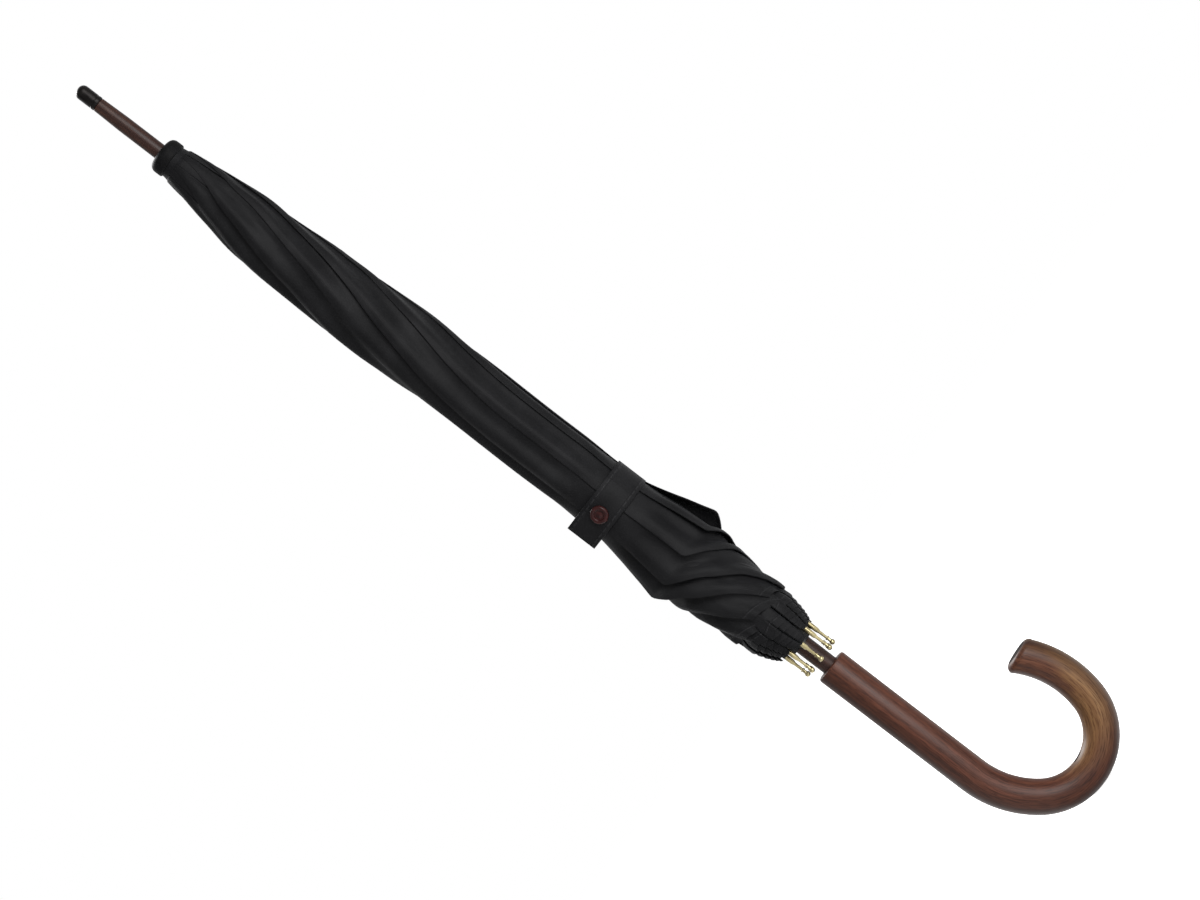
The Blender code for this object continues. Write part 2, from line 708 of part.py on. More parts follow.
def rib_tip_skin():
    """Brass end of a rib: a socket for the rib's spigot, a slim neck and a ball."""
    top = -(RIB_LENGTH - RIB_TIP_LENGTH) - SEAT_GAP
    socket = RIB_SPIGOT_RADIUS + SEAT_GAP
    socket_end = top - RIB_SPIGOT_LENGTH
    ball = -RIB_LENGTH + RIB_TIP_BALL_RADIUS
    neck = math.asin(RIB_TIP_NECK_RADIUS / RIB_TIP_BALL_RADIUS)
    profile = [
        (socket, socket_end),
        (socket, top),
        (RIB_TIP_RADIUS, top),
        (RIB_TIP_RADIUS, socket_end - RIB_TIP_RADIUS),
        (RIB_TIP_NECK_RADIUS, socket_end - RIB_SPIGOT_LENGTH),
    ]
    for step in range(RIB_TIP_BALL_STEPS + 1):
        angle = neck + (RIB_TIP_BALL_END - neck) * step / RIB_TIP_BALL_STEPS
        profile.append((RIB_TIP_BALL_RADIUS * math.sin(angle), ball + RIB_TIP_BALL_RADIUS * math.cos(angle)))
    return loft([circle(radius, height, RIB_TIP_SIDES, (RIB_MIDDLE, 0.0)) for radius, height in profile])


def rivet_skin():
    """Rivet across the rib's channel, with a head on both sides."""
    head = RIB_WIDTH / 2 + SEAT_GAP
    end = head + RIVET_HEAD_HEIGHT
    stations = [
        (-end, RIVET_HEAD_RADIUS),
        (-head, RIVET_HEAD_RADIUS),
        (-head, RIVET_RADIUS),
        (head, RIVET_RADIUS),
        (head, RIVET_HEAD_RADIUS),
        (end, RIVET_HEAD_RADIUS),
    ]
    return cross_pin(stations, PIN_SIDES, (RIVET_IN_RIB, -RIVET_DEPTH))


def stretcher_skin():
    """Flat strut hanging down from its rivet, with an eye there and a round end in the runner's crown."""
    half = STRETCHER_DEPTH / 2
    side = math.asin(half / STRETCHER_EYE_RADIUS)
    up = math.pi / 2
    round_part = 2 * (math.pi - side)
    foot = (0.0, -STRETCHER_LENGTH)
    outline = arc((0.0, 0.0), STRETCHER_EYE_RADIUS, side - up, side - up + round_part, EYE_STEPS)
    outline += arc(foot, STRETCHER_EYE_RADIUS, side + up, side + up + round_part, EYE_STEPS)
    hole = ring_of_points((0.0, 0.0), RIVET_RADIUS + SEAT_GAP, PIN_SIDES)
    return plate(outline, hole, BLADE_THICKNESS / 2)


def make_ribs():
    """Eight ribs with their tips, rivets and stretchers."""
    rib = rib_mesh()
    tip = mesh_from("rib_tip", rib_tip_skin())
    rivet = mesh_from("rivet", rivet_skin())
    stretcher = mesh_from("stretcher", stretcher_skin())
    lean = Matrix.Rotation(-RIB_SPREAD, 4, "Y")
    strut = Matrix.Translation((RIVET_IN_RIB, 0.0, -RIVET_DEPTH)) @ Matrix.Rotation(
        RIB_SPREAD + CLOSED_ANGLE, 4, "Y"
    )
    for number, angle in enumerate(RIB_ANGLES, start=1):
        hinge = turn_z(angle) @ Matrix.Translation((PIVOT_RADIUS, 0.0, NOTCH_HEIGHT_ON_AXIS)) @ lean
        holder = hinge_empty(f"rib_hinge_{number}", hinge)
        place_object(f"rib_{number}", rib, STEEL, holder)
        place_object(f"rib_tip_{number}", tip, BRASS, holder)
        place_object(f"rivet_{number}", rivet, STEEL, holder)
        place_object(f"stretcher_{number}", stretcher, STEEL, holder, strut)


def cloth_thickness(depth):
    """Thickness of the furled cloth at a depth below the notch, eased between the given stations."""
    stations = CLOTH_THICKNESS
    if depth <= stations[0][0]:
        return stations[0][1]
    for (d0, t0), (d1, t1) in zip(stations, stations[1:]):
        if depth <= d1:
            share = (depth - d0) / (d1 - d0)
            return t0 + (t1 - t0) * share
    return stations[-1][1]


def cloth_base(depth):
    """Radius of the space that the ribs and the notch leave for the cloth."""
    over_notch = CROWN_RADIUS + SEAT_GAP
    at_rib = PIVOT_RADIUS + RIB_OUTER * math.cos(RIB_SPREAD) + depth * math.sin(RIB_SPREAD)
    over_rib = math.hypot(at_rib, RIB_WIDTH / 2) + CLOTH_STAND
    share = min(1.0, depth / RIB_CHANNEL_START)
    return over_notch + (over_rib - over_notch) * share


def lap_edge(depth):
    """How far round a gore's lap reaches from its own rib, in sectors."""
    share = min(1.0, depth / TWIST_DEPTH)
    return TWIST_START + TWIST_TURNS * share * share * (3 - 2 * share)


def corner_flare(depth):
    """How far the lap's corner stands out."""
    if depth < CORNER_DEPTH:
        return CORNER_FLARE * max(0.0, 1 - (CORNER_DEPTH - depth) / CORNER_RISE)
    return CORNER_FLARE * max(0.0, 1 - (depth - CORNER_DEPTH) / CORNER_FALL)


def lap_radii(point, depth):
    """Outer and inner radius of a lap at one of its points, from its root (0) to its folded edge."""
    base = cloth_base(depth)
    thickness = cloth_thickness(depth)
    step = min(LAP_STEP, 0.5 * thickness)
    under = [base + thickness - step, base + thickness - step]
    rise = [step * k / LAP_SHARE for k in range(1, LAP_SHARE + 1)]
    outer = under + [base + thickness - step + r for r in rise]
    flare = corner_flare(depth)
    outer[LAP_POINTS - 1] += flare
    outer[LAP_POINTS - 2] += flare / 3
    if point < LAP_SHARE:
        return outer[point], base
    clear = outer[point - LAP_SHARE] + min(LAP_GAP, step / 2)
    return outer[point], max(clear, outer[point] - LAP_TAIL)


def gore_rows():
    """Depths at which a gore is drawn, for each of its points; below the corner the rows slant to the hem."""
    hem = RIB_LENGTH - HEM_RISE
    level = [d for d, _ in CLOTH_THICKNESS if d < CORNER_DEPTH - CORNER_RISE]
    level += GORE_ROW_DEPTHS
    level += [CORNER_DEPTH - CORNER_RISE, CORNER_DEPTH - CORNER_RISE / 3, CORNER_DEPTH]
    rows = [[depth] * LAP_POINTS for depth in sorted(level)]
    ends = [hem - SIDE_HEM * k / LAP_SHARE for k in range(LAP_POINTS - 1)]
    ends.append(CORNER_DEPTH + TAIL_HEM)
    for share in HEM_ROW_SHARES:
        rows.append([CORNER_DEPTH + (end - CORNER_DEPTH) * share for end in ends])
    return rows


def gore_skin():
    """One furled gore: a twisted lap of folded cloth that ends in a flared corner and a slanting hem."""
    skin = bmesh.new()
    grid = []
    for depths in gore_rows():
        outer = []
        inner = []
        for point, depth in enumerate(depths):
            reach = lap_edge(depth) - (LAP_POINTS - 1 - point) / LAP_SHARE
            turn = turn_z(-SECTOR * reach)
            far, near = lap_radii(point, depth)
            height = NOTCH_HEIGHT_ON_AXIS - depth
            outer.append(skin.verts.new(turn @ Vector((far, 0.0, height))))
            inner.append(skin.verts.new(turn @ Vector((near, 0.0, height))))
        grid.append((outer, inner))
    last = LAP_POINTS - 1
    for (outer, inner), (next_outer, next_inner) in zip(grid, grid[1:]):
        for k in range(last):
            skin.faces.new((outer[k], outer[k + 1], next_outer[k + 1], next_outer[k]))
            skin.faces.new((inner[k + 1], inner[k], next_inner[k], next_inner[k + 1]))
        skin.faces.new((inner[0], outer[0], next_outer[0], next_inner[0]))
        skin.faces.new((outer[last], inner[last], next_inner[last], next_outer[last]))
    for outer, inner in (grid[0], grid[-1]):
        for k in range(last):
            skin.faces.new((outer[k], inner[k], inner[k + 1], outer[k + 1]))
    bmesh.ops.recalc_face_normals(skin, faces=skin.faces)
    return skin


def gore_hinge(angle):
    """Place of the axis about which a gore spreads from its own rib to the next one as the ribs open."""
    lift = Matrix.Translation(
        (
            PIVOT_RADIUS * (1 - math.cos(OPEN_ANGLE)),
            0.0,
            NOTCH_HEIGHT_ON_AXIS + PIVOT_RADIUS * math.sin(OPEN_ANGLE),
        )
    )
    return turn_z(angle) @ lift @ Matrix.Rotation(OPEN_ANGLE, 4, "Y")


def make_canopy():
    """Eight furled gores, each on the axis that it spreads about."""
    gore = mesh_from("gore", gore_skin())
    for number, angle in enumerate(RIB_ANGLES, start=1):
        hinge = gore_hinge(angle)
        holder = hinge_empty(f"gore_hinge_{number}", hinge)
        place_object(f"gore_{number}", gore, CLOTH, holder, hinge.inverted() @ turn_z(angle))


def strap_radius():
    """Inner radius of the tie strap: the furled cloth at its depth and a clearance for the flats of both."""
    depths = (STRAP_DEPTH - STRAP_WIDTH / 2, STRAP_DEPTH, STRAP_DEPTH + STRAP_WIDTH / 2)
    widest = max(lap_radii(LAP_POINTS - 1, depth)[0] for depth in depths)
    return (widest + SEAT_GAP) / math.cos(math.pi / STRAP_SIDES)


def make_strap():
    """Tie strap round the furled cloth, its free end and the snap on it."""
    inner = strap_radius()
    outer = inner + STRAP_THICKNESS
    middle = NOTCH_HEIGHT_ON_AXIS - STRAP_DEPTH
    low = middle - STRAP_WIDTH / 2
    high = middle + STRAP_WIDTH / 2
    band = turned([(inner, low), (outer, low), (outer, high), (inner, high)], STRAP_SIDES, joined=True)
    place_object("tie_band", mesh_from("tie_band", band), CLOTH)
    near = outer + SEAT_GAP
    start = Vector((math.cos(TAB_START_ANGLE), math.sin(TAB_START_ANGLE), 0.0)) * near
    hinge = Matrix.Translation((start.x, start.y, middle))
    holder = hinge_empty("tie_tab_hinge", hinge)
    back = hinge.inverted()
    rings = []
    for step in range(TAB_STEPS + 1):
        angle = TAB_START_ANGLE + (TAB_LEAVE_ANGLE - TAB_START_ANGLE) * step / TAB_STEPS
        out = Vector((math.cos(angle), math.sin(angle), 0.0))
        rings.append((out * near, out))
    along = Vector((math.sin(TAB_LEAVE_ANGLE), -math.cos(TAB_LEAVE_ANGLE), 0.0))
    rings.append((rings[-1][0] + along * TAB_FREE_LENGTH, rings[-1][1]))
    skin = loft(
        [
            [
                back @ (point + out * far + Vector((0.0, 0.0, height)))
                for far, height in ((0.0, low), (STRAP_THICKNESS, low), (STRAP_THICKNESS, high), (0.0, high))
            ]
            for point, out in rings
        ]
    )
    place_object("tie_tab", mesh_from("tie_tab", skin), CLOTH, holder)
    dome = [(SNAP_RADIUS * across, SNAP_HEIGHT * rise) for across, rise in SNAP_PROFILE]
    seat = near + STRAP_THICKNESS + SEAT_GAP
    face = (
        back
        @ Matrix.Translation((math.cos(SNAP_ANGLE) * seat, math.sin(SNAP_ANGLE) * seat, middle))
        @ turn_z(SNAP_ANGLE)
        @ Matrix.Rotation(math.pi / 2, 4, "Y")
    )
    place_object("snap_cap", mesh_from("snap_cap", turned(dome, SNAP_SIDES)), SNAP, holder, face)


make_stick()
make_handle()
make_notch()
make_runner()
make_ribs()
make_canopy()
make_strap()
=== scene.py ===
"""The furled umbrella's looks: rolled cloth, tie strap, stained wood, brass tips and a plain studio."""

import json
import math

import bmesh
import bpy
import numpy as np
from mathutils import Matrix, Vector, noise


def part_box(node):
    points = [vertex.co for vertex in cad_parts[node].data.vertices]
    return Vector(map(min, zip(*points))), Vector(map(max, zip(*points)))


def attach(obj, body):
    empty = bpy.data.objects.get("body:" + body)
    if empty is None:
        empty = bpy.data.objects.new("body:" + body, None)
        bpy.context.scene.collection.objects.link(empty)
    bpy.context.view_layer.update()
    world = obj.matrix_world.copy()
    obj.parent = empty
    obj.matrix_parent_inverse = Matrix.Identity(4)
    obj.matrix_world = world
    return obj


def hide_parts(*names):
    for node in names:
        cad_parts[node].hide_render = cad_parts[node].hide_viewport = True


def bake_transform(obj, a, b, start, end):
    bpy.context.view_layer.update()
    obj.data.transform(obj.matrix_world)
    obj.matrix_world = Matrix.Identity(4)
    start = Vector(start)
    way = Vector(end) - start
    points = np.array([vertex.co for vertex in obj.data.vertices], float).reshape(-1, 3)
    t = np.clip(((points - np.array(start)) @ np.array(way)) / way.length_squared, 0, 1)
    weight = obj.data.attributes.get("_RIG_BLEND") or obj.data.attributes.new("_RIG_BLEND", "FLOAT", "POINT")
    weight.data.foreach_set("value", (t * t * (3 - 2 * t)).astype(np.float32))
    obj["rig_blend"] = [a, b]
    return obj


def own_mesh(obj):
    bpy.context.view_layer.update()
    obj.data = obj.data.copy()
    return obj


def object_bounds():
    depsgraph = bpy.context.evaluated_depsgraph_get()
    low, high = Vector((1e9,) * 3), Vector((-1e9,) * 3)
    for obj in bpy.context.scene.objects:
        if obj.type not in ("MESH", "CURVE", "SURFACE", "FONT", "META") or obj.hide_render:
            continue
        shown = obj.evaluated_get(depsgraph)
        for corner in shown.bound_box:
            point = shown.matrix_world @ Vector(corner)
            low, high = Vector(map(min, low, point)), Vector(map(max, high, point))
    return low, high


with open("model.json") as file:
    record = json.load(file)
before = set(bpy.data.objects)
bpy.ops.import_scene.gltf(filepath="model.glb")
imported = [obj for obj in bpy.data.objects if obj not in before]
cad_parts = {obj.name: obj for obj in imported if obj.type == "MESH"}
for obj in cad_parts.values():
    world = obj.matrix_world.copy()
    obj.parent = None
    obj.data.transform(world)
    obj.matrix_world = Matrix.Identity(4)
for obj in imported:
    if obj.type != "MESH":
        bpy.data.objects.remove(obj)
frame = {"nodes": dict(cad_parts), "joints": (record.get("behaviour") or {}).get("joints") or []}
cad_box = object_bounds()

# Places read from the frame
JOINTS = {joint["name"]: joint for joint in frame["joints"]}
RIB_COUNT = sum(name.startswith("rib_hinge_") for name in JOINTS)
SECTOR = 2 * math.pi / RIB_COUNT
FIRST_HINGE = Vector(JOINTS["rib_hinge_1"]["pos_m"])
PIVOT_RADIUS = FIRST_HINGE.x
NOTCH = FIRST_HINGE.z
OPEN_ANGLE = math.radians(JOINTS["rib_hinge_1"]["range_deg"][1])
HANDLE_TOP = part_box("handle")[1].z
STICK_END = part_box("ferrule_tip")[1].z
STRAP_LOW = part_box("tie_band")[0].z
STRAP_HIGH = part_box("tie_band")[1].z

# All sizes are in metres. Gap between fitted pieces, distance below which points are merged, and the angle
# from which an edge is shaded sharp
CLEARANCE = 0.0003
MERGE_DISTANCE = 1e-6
SHARP_ANGLE = math.radians(35.0)

# Ribs and notch. A rib's brass end is an outline of (radius, drop) pairs and a ball, whose arc is given as
# shares of a half turn
RIB_BACK = 0.0030
RIB_MIDDLE = 0.0013
RIB_LENGTH = 0.578
RIB_END_LENGTH = 0.030
RIB_END = (
    (0.0017, 0.0), (0.0019, 0.0004), (0.0019, 0.0020), (0.0016, 0.0024), (0.0016, 0.0034), (0.0019, 0.0038),
    (0.0019, 0.0100), (0.0018, 0.0140), (0.0012, 0.0160), (0.0011, 0.0225), (0.0018, 0.0228),
    (0.0018, 0.0236), (0.0012, 0.0239),
)
RIB_END_SIDES = 20
BALL_RADIUS = 0.0021
BALL_ARC = (0.22, 0.98)
BALL_STEPS = 8
NOTCH_RADIUS = 0.0120
NOTCH_DROP = 0.010
RIB_LEAN = (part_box("rib_1")[1].x - PIVOT_RADIUS - RIB_BACK) / (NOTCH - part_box("rib_1")[0].z)

# Furled cloth: outer radius of the roll at each depth below the hinges, and the length over which it eases
ROLL = (
    (0.000, 0.0133), (0.012, 0.0150), (0.024, 0.0168), (0.036, 0.0185), (0.048, 0.0201), (0.060, 0.0220),
    (0.072, 0.0234), (0.086, 0.0239), (0.120, 0.0244), (0.144, 0.0250), (0.156, 0.0263), (0.220, 0.0264),
    (0.240, 0.0255), (0.290, 0.0249), (0.374, 0.0249), (0.408, 0.0258), (0.440, 0.0280), (0.460, 0.0290),
    (0.478, 0.0278), (0.490, 0.0268), (0.504, 0.0266), (0.516, 0.0260), (0.530, 0.0250), (0.578, 0.0238),
)
ROLL_EASE = 0.007
EASE_SAMPLES = 7
# How far the roll's middle lies off the stick, away from the crook, by depth
SWAY = (
    (0.030, 0.0), (0.060, 0.0020), (0.084, 0.0036), (0.104, 0.0038), (0.120, 0.0026), (0.180, 0.0026),
    (0.204, 0.0012), (0.362, 0.0012), (0.378, 0.0020), (0.404, 0.0020), (0.430, 0.0012), (0.460, 0.0012),
    (0.490, 0.0020), (0.560, 0.0020),
)
SWAY_EASE = 0.010
# Thinnest the roll gets: it grows with depth at this slope, between two limits
LEAST_SLOPE = 0.2
LEAST_THICKNESS = (0.0002, 0.0006)
# Thickness from which the laps are at their full height
FULL_THICKNESS = 0.008
# How far the cloth stands off the notch and off the ribs' backs, and how its top draws in towards the cap
NOTCH_STAND = 0.0002
RIB_STAND = (0.0005, 0.0016)
RIB_STAND_DEPTHS = (0.020, 0.070)
TUCK_RADIUS = 0.01306
TUCK_DEPTH = 0.0030
TUCK_SLOPE = 0.487
# Crown cloth, by depth: a ring tucked up into the cap, and from the split down a tongue between each two
# ribs, which lies just under the laps and keeps clear of the ribs' pleats by a margin (in sectors)
CROWN_RING = 0.01215
CROWN_TOP = -0.0025
CROWN_RIM = -0.0016
CROWN_SPLIT = 0.0030
CROWN_TONGUE = 0.0034
CROWN_LOW = 0.038
CROWN_MARGIN = 0.07
CROWN_SPREAD = 0.003
CROWN_UNDER_ROLL = 0.0003
CROWN_UNDER_LAP = 0.0002
# Rows of points in ring and tongue, and columns
CROWN_ROWS = (9, 24)
CROWN_COLUMNS = 17
# How far a lap's edge stands out, by depth: most at its corner, less along the hem below; each lap's share
FLARE = (
    (0.402, 0.0), (0.425, 0.0030), (0.445, 0.0062), (0.457, 0.0086), (0.461, 0.0072),
    (0.475, 0.0040), (0.490, 0.0018), (0.510, 0.0008), (0.540, 0.0),
)
FLARE_REACH = 0.9
CORNER_LIFT = (1.05, 0.5, 0.4, 0.6, 1.25, 0.75, 0.6, 0.8)
# How many sectors a lap reaches round the roll: it starts short under the cap, twists out to its full reach,
# and below its corner the hem leads it back to its rib
LAP_TOP = 0.35
LAP_TOP_DEPTH = 0.050
LAP_START = 1.05
LAP_FULL = 4.0
LAP_TWIST_DEPTH = 0.300
HEM_LINE = ((0.456, 4.0), (0.467, 3.4), (0.475, 3.0), (0.495, 2.1), (0.520, 1.3), (0.540, 1.05))
# Where a lap's own step along the hem sets in, as (start, length), and the easing of edges
HEM_STEP = (0.470, 0.012)
EDGE_EASE = 0.002
# Laps: step from one to the next (at most a share of the roll's thickness), mean depth of their cloth under
# the roll's outside, ridges, gap between layers as a share of the step, lines of points and how they crowd
# towards the edge, and the swelling of the fold there
LAP_PITCH = 0.0013
PITCH_SHARE = 0.22
LAP_INSET = 0.002
RIDGE = 0.0013
LAYER_SHARE = 0.4
LAP_COLUMNS = 45
EDGE_CROWDING = 1.6
FOLD_SWELL = 0.0003
FOLD_SWELL_REACH = 0.12
# Pleats on each side of a rib: count, points in one, gap to the rib's middle, least width, width by height,
# depths between which they open out to the roll, and the share of the cut width that is folded
PLEATS = 6
PLEAT_POINTS = 4
PLEAT_INSET = 0.0003
PLEAT_LEAST = 0.0002
PLEAT_WIDTHS = (0.4, 1.8)
PLEAT_SPREAD = (0.516, 0.532)
CUT_SHARE = 0.86
# Hem: its depth at the ribs, rise between them and turned edge; rows of points down a gore as (from, to,
# count), and the depth at which the roll is full
HEM_DEPTH = 0.556
HEM_RISE = 0.034
TOP_ROWS = (0.0035, 0.0038)
LEVEL_END = 0.505
LEVEL_ROWS = ((0.0045, 0.090, 15), (0.090, 0.400, 44), (0.400, LEVEL_END, 46))
HEM_ROWS = 18
FULL_DEPTH = 0.450
# Small folds of loose cloth: height, noise waves per sector round the roll, their slant, waves per metre down
# it, and shift from gore to gore. The swell goes round the whole roll. Puckers come where the hem gathers,
# from a depth on and over a length, and the cloth is calm above a depth.
SWELL = (0.0009, 1.1, 17.0)
STREAKS = (0.0005, 2.6, 0.0, 6.0, 7.3)
FINE_CREASES = (0.0002, 7.0, 9.0, 14.0, 5.7)
PUCKERS = (0.0006, 3.0, 60.0, 45.0, 3.1)
GATHER = (0.466, 0.020)
CALM_DEPTH = 0.030
# How much each gore may differ: corner, hem and step by depth, turns in sectors, flare and pleats as shares
HABIT_SEED = 11
CORNER_RANGE = (-0.002, 0.002)
TURNS_RANGE = (-0.07, 0.07)
FLARE_RANGE = (0.95, 1.05)
STEP_RANGE = (-0.004, 0.004)
PLEAT_RANGE = (0.82, 1.0)
HEM_RANGE = (-0.002, 0.004)

# Tie strap: it presses the cloth smooth within the first distance of its middle, and lets go over the second
STRAP_PRESS = (0.012, 0.030)
# Its ring, whose middle lies off the stick; its free end lies on the ring from one angle to the next and then
# runs straight on
STRAP_RADIUS = 0.0256
STRAP_OFFSET = -0.0020
STRAP_THICKNESS = 0.0009
TAB_START = math.radians(-62.0)
TAB_LEAVE = math.radians(-125.0)
TAB_FREE = 0.022
SNAP_ANGLE = math.radians(-116.0)
SNAP_RADIUS = 0.0068
STRAP_ROWS = 7
STRAP_POINTS = 96
STRAP_SHARP = math.radians(40)
# Its stitches lie 2.5 mm from its edge, nearer than a hem's
STRAP_STITCH_SHIFT = 0.0035
TAB_GAP = 0.0004
TAB_POINTS = (20, 8)
# Snap: a rolled ring round a dished button, whose outline is given as (in from the ring's middle, height)
SNAP_GAP = 0.0002
SNAP_HEIGHT = 0.0022
SNAP_ROUND = 0.0015
SNAP_RING = 0.0018
SNAP_DISH = ((0.0017, 0.0006), (0.0028, 0.0007), (0.0036, 0.0011))
SNAP_MIDDLE = (0.0005, 0.0013)
SNAP_SIDES = 40

# Handle: a straight bar and then three arcs, each with its radius and the angle it turns through
GRIP_RADIUS = 0.0131
STRAIGHT_LENGTH = 0.1268
HANDLE_BENDS = ((0.0762, math.radians(39.3)), (0.0440, math.radians(126.5)), (0.0782, math.radians(41.0)))
ARM_CUT_ANGLE = math.radians(22.4)
ARM_END_ROUND = 0.0050
ARM_END_STEPS = 8
# The arm is spun a little too far, in steps of so many degrees, and then sawn off at a slant; faces that
# look nearly along the cut show end grain
ARM_SPARE = math.radians(12.0)
ARC_STEP = 3.0
END_FACING = 0.97
# Top of the grip: a chamfer rounded in two steps, the first given as shares of its height and width left
GRIP_CHAMFER = 0.0016
RIM_STEP = (0.25, 0.35)
SOCKET_DEPTH = 0.020

# Stick: the shaft, the turned ferrule above the canopy (heights from the hinges, waist as radius and height)
# with its peg, and the slots of the catches
SHAFT_RADIUS = 0.0070
TURNED_SIDES = 48
FERRULE_RADIUS = 0.0058
FERRULE_STRAIGHT = 0.046
FERRULE_WAIST = (0.0055, 0.058)
FERRULE_END = 0.0053
FERRULE_CHAMFER = (0.0004, 0.0005)
PEG_RADIUS = 0.0038
PEG_SHORT = 0.002
SLOT_LENGTH = 0.009
SLOT_WIDTH = 0.0018
# Metal cap on the peg, with a bead at its seat given as (radius, height above the seat)
TIP_LENGTH = 0.018
TIP_RADIUS = 0.0055
TIP_BORE = 0.0041
TIP_WALL = 0.0014
TIP_ROUND = 0.0046
TIP_BEAD = (
    (0.0053, 0.0), (0.0055, 0.0003), (0.0055, 0.0024), (0.0052, 0.0027), (0.0052, 0.0031), (0.0055, 0.0034),
)
# Cap over the canopy's top, with a collar round the ferrule given as (radius, drop)
CAP_INNER = 0.0123
CAP_OUTER = 0.0135
CAP_RIM_ROUND = 0.0012
CAP_CROWN_ROUND = 0.0052
CAP_SIDES = 64
CAP_COLLAR = ((0.0074, 0.0), (0.0066, 0.0005), (0.0061, 0.0012), (0.0061, 0.0026))

# Camera: a long lens square to the crook's plane, rolled so that the stick runs down to the right
FRAME_WIDTH = 0.8496
CAMERA_DISTANCE = 3.0
SENSOR = 36.0
STICK_SLOPE = math.radians(37.47)
AIM_BELOW_TIP = 0.449
AIM_TO_CROOK = 0.022

# Studio: light of the surroundings, the floor, and lamps as (name, place, size, watts)
AMBIENT = 0.14
FLOOR_SIZE = 8.0
FLOOR_GAP = 0.0005
FLOOR_GLOW = 0.88
LAMPS = (
    ("key_box", (1.1, -1.9, 0.7), 1.3, 84.0),
    ("fill_box", (-1.4, -1.6, 1.0), 1.2, 2.0),
    ("back_box", (-0.7, 1.5, 2.1), 1.2, 90.0),
)

# Wood: grain lines 3 mm wide and 75 mm long, pores 0.6 by 9 mm (twice as wide as real ones so that they
# show), uneven stain 12 by 40 mm, and rings 1.6 mm apart on the sawn end. A wave texture at scale 1 repeats
# every WAVE_TURN units.
WAVE_TURN = math.pi / 10
BAR_ATTRIBUTE = "straight_bar"
GRAIN_SIZE = (0.0030, 0.075)
PORE_SIZE = (0.0006, 0.009)
STAIN_CLOUD_SIZE = (0.012, 0.040)
RING_SPACING = 0.0016
GRAIN_STOPS = (0.30, 0.52, 0.72)
PORE_SHARE = 0.7
BEECH_ROUGHNESS = (0.34, 0.52)
# By metres along the bar, the stain is worn pale on the crook's far side and nearly whole again at the arm's
# end; the worn part is uneven, and starts and ends sooner on the inside of the bend
STAIN_FADE = (0.238, 0.302)
STAIN_BACK = (0.318, 0.352)
STAIN_BACK_SHARE = 0.1
STAIN_UNEVEN = 0.06
STAIN_INWARD = 2.2
# Painted shade: across the bar, in metres from its middle, the colour darkens towards the outer side of the
# bend, where less light falls, to this share
PAINTED_OUTER_SHADE = (-0.0115, -0.0010)
PAINTED_OUTER_SHADE_SHARE = 0.50
# Cloth: threads are 0.25 mm apart on the real one, drawn 0.9 mm apart so that they show. Its lock stitch runs
# 6 mm from the hem in 4.2 mm stitches every 6 mm, twice as long as real ones so that they show.
THREAD_SPACING = 0.0009
CLOTH_CLOUD_SIZE = 0.022
HEM_STITCH = 0.006
STITCH_HALF_WIDTH = 0.00045
STITCH_HALF_PITCH = 0.003
STITCH_HALF_GAP = 0.0009
HEM_FOLD = (0.0068, 0.0072)
# Handling marks on metal, nylon and lacquer, 4 mm across
MARK_SIZE = 0.004


def linear(hex_colour):
    """Linear colour with alpha from an sRGB hex value."""
    channels = [int(hex_colour[i : i + 2], 16) / 255 for i in (1, 3, 5)]
    return (*[c / 12.92 if c <= 0.04045 else ((c + 0.055) / 1.055) ** 2.4 for c in channels], 1.0)


def add_node(tree, kind, inputs=None, stops=(), **settings):
    """A node with its settings and colour stops; each input is a value or the socket that feeds it."""
    made = tree.nodes.new(kind)
    for key, value in settings.items():
        setattr(made, key, value)
    for key, value in (inputs or {}).items():
        if isinstance(value, bpy.types.NodeSocket):
            tree.links.new(value, made.inputs[key])
        else:
            made.inputs[key].default_value = value
    for index, (place, colour) in enumerate(stops):
        elements = made.color_ramp.elements
        element = elements[index] if index < 2 else elements.new(place)
        element.position = place
        element.color = linear(colour)
    return made


def new_material(name, **values):
    """A material with constant values set on its Principled shader."""
    material = bpy.data.materials.new(name)
    material.use_nodes = True
    shader = material.node_tree.nodes["Principled BSDF"]
    for key, value in values.items():
        shader.inputs[key.replace("_", " ").title().replace("Ior", "IOR")].default_value = value
    return material, material.node_tree, shader


def grain_scale(across, along):
    """Mapping scale that makes a grain of this size, in metres, one unit across and one along."""
    return (1 / across, 1 / across, 1 / along)


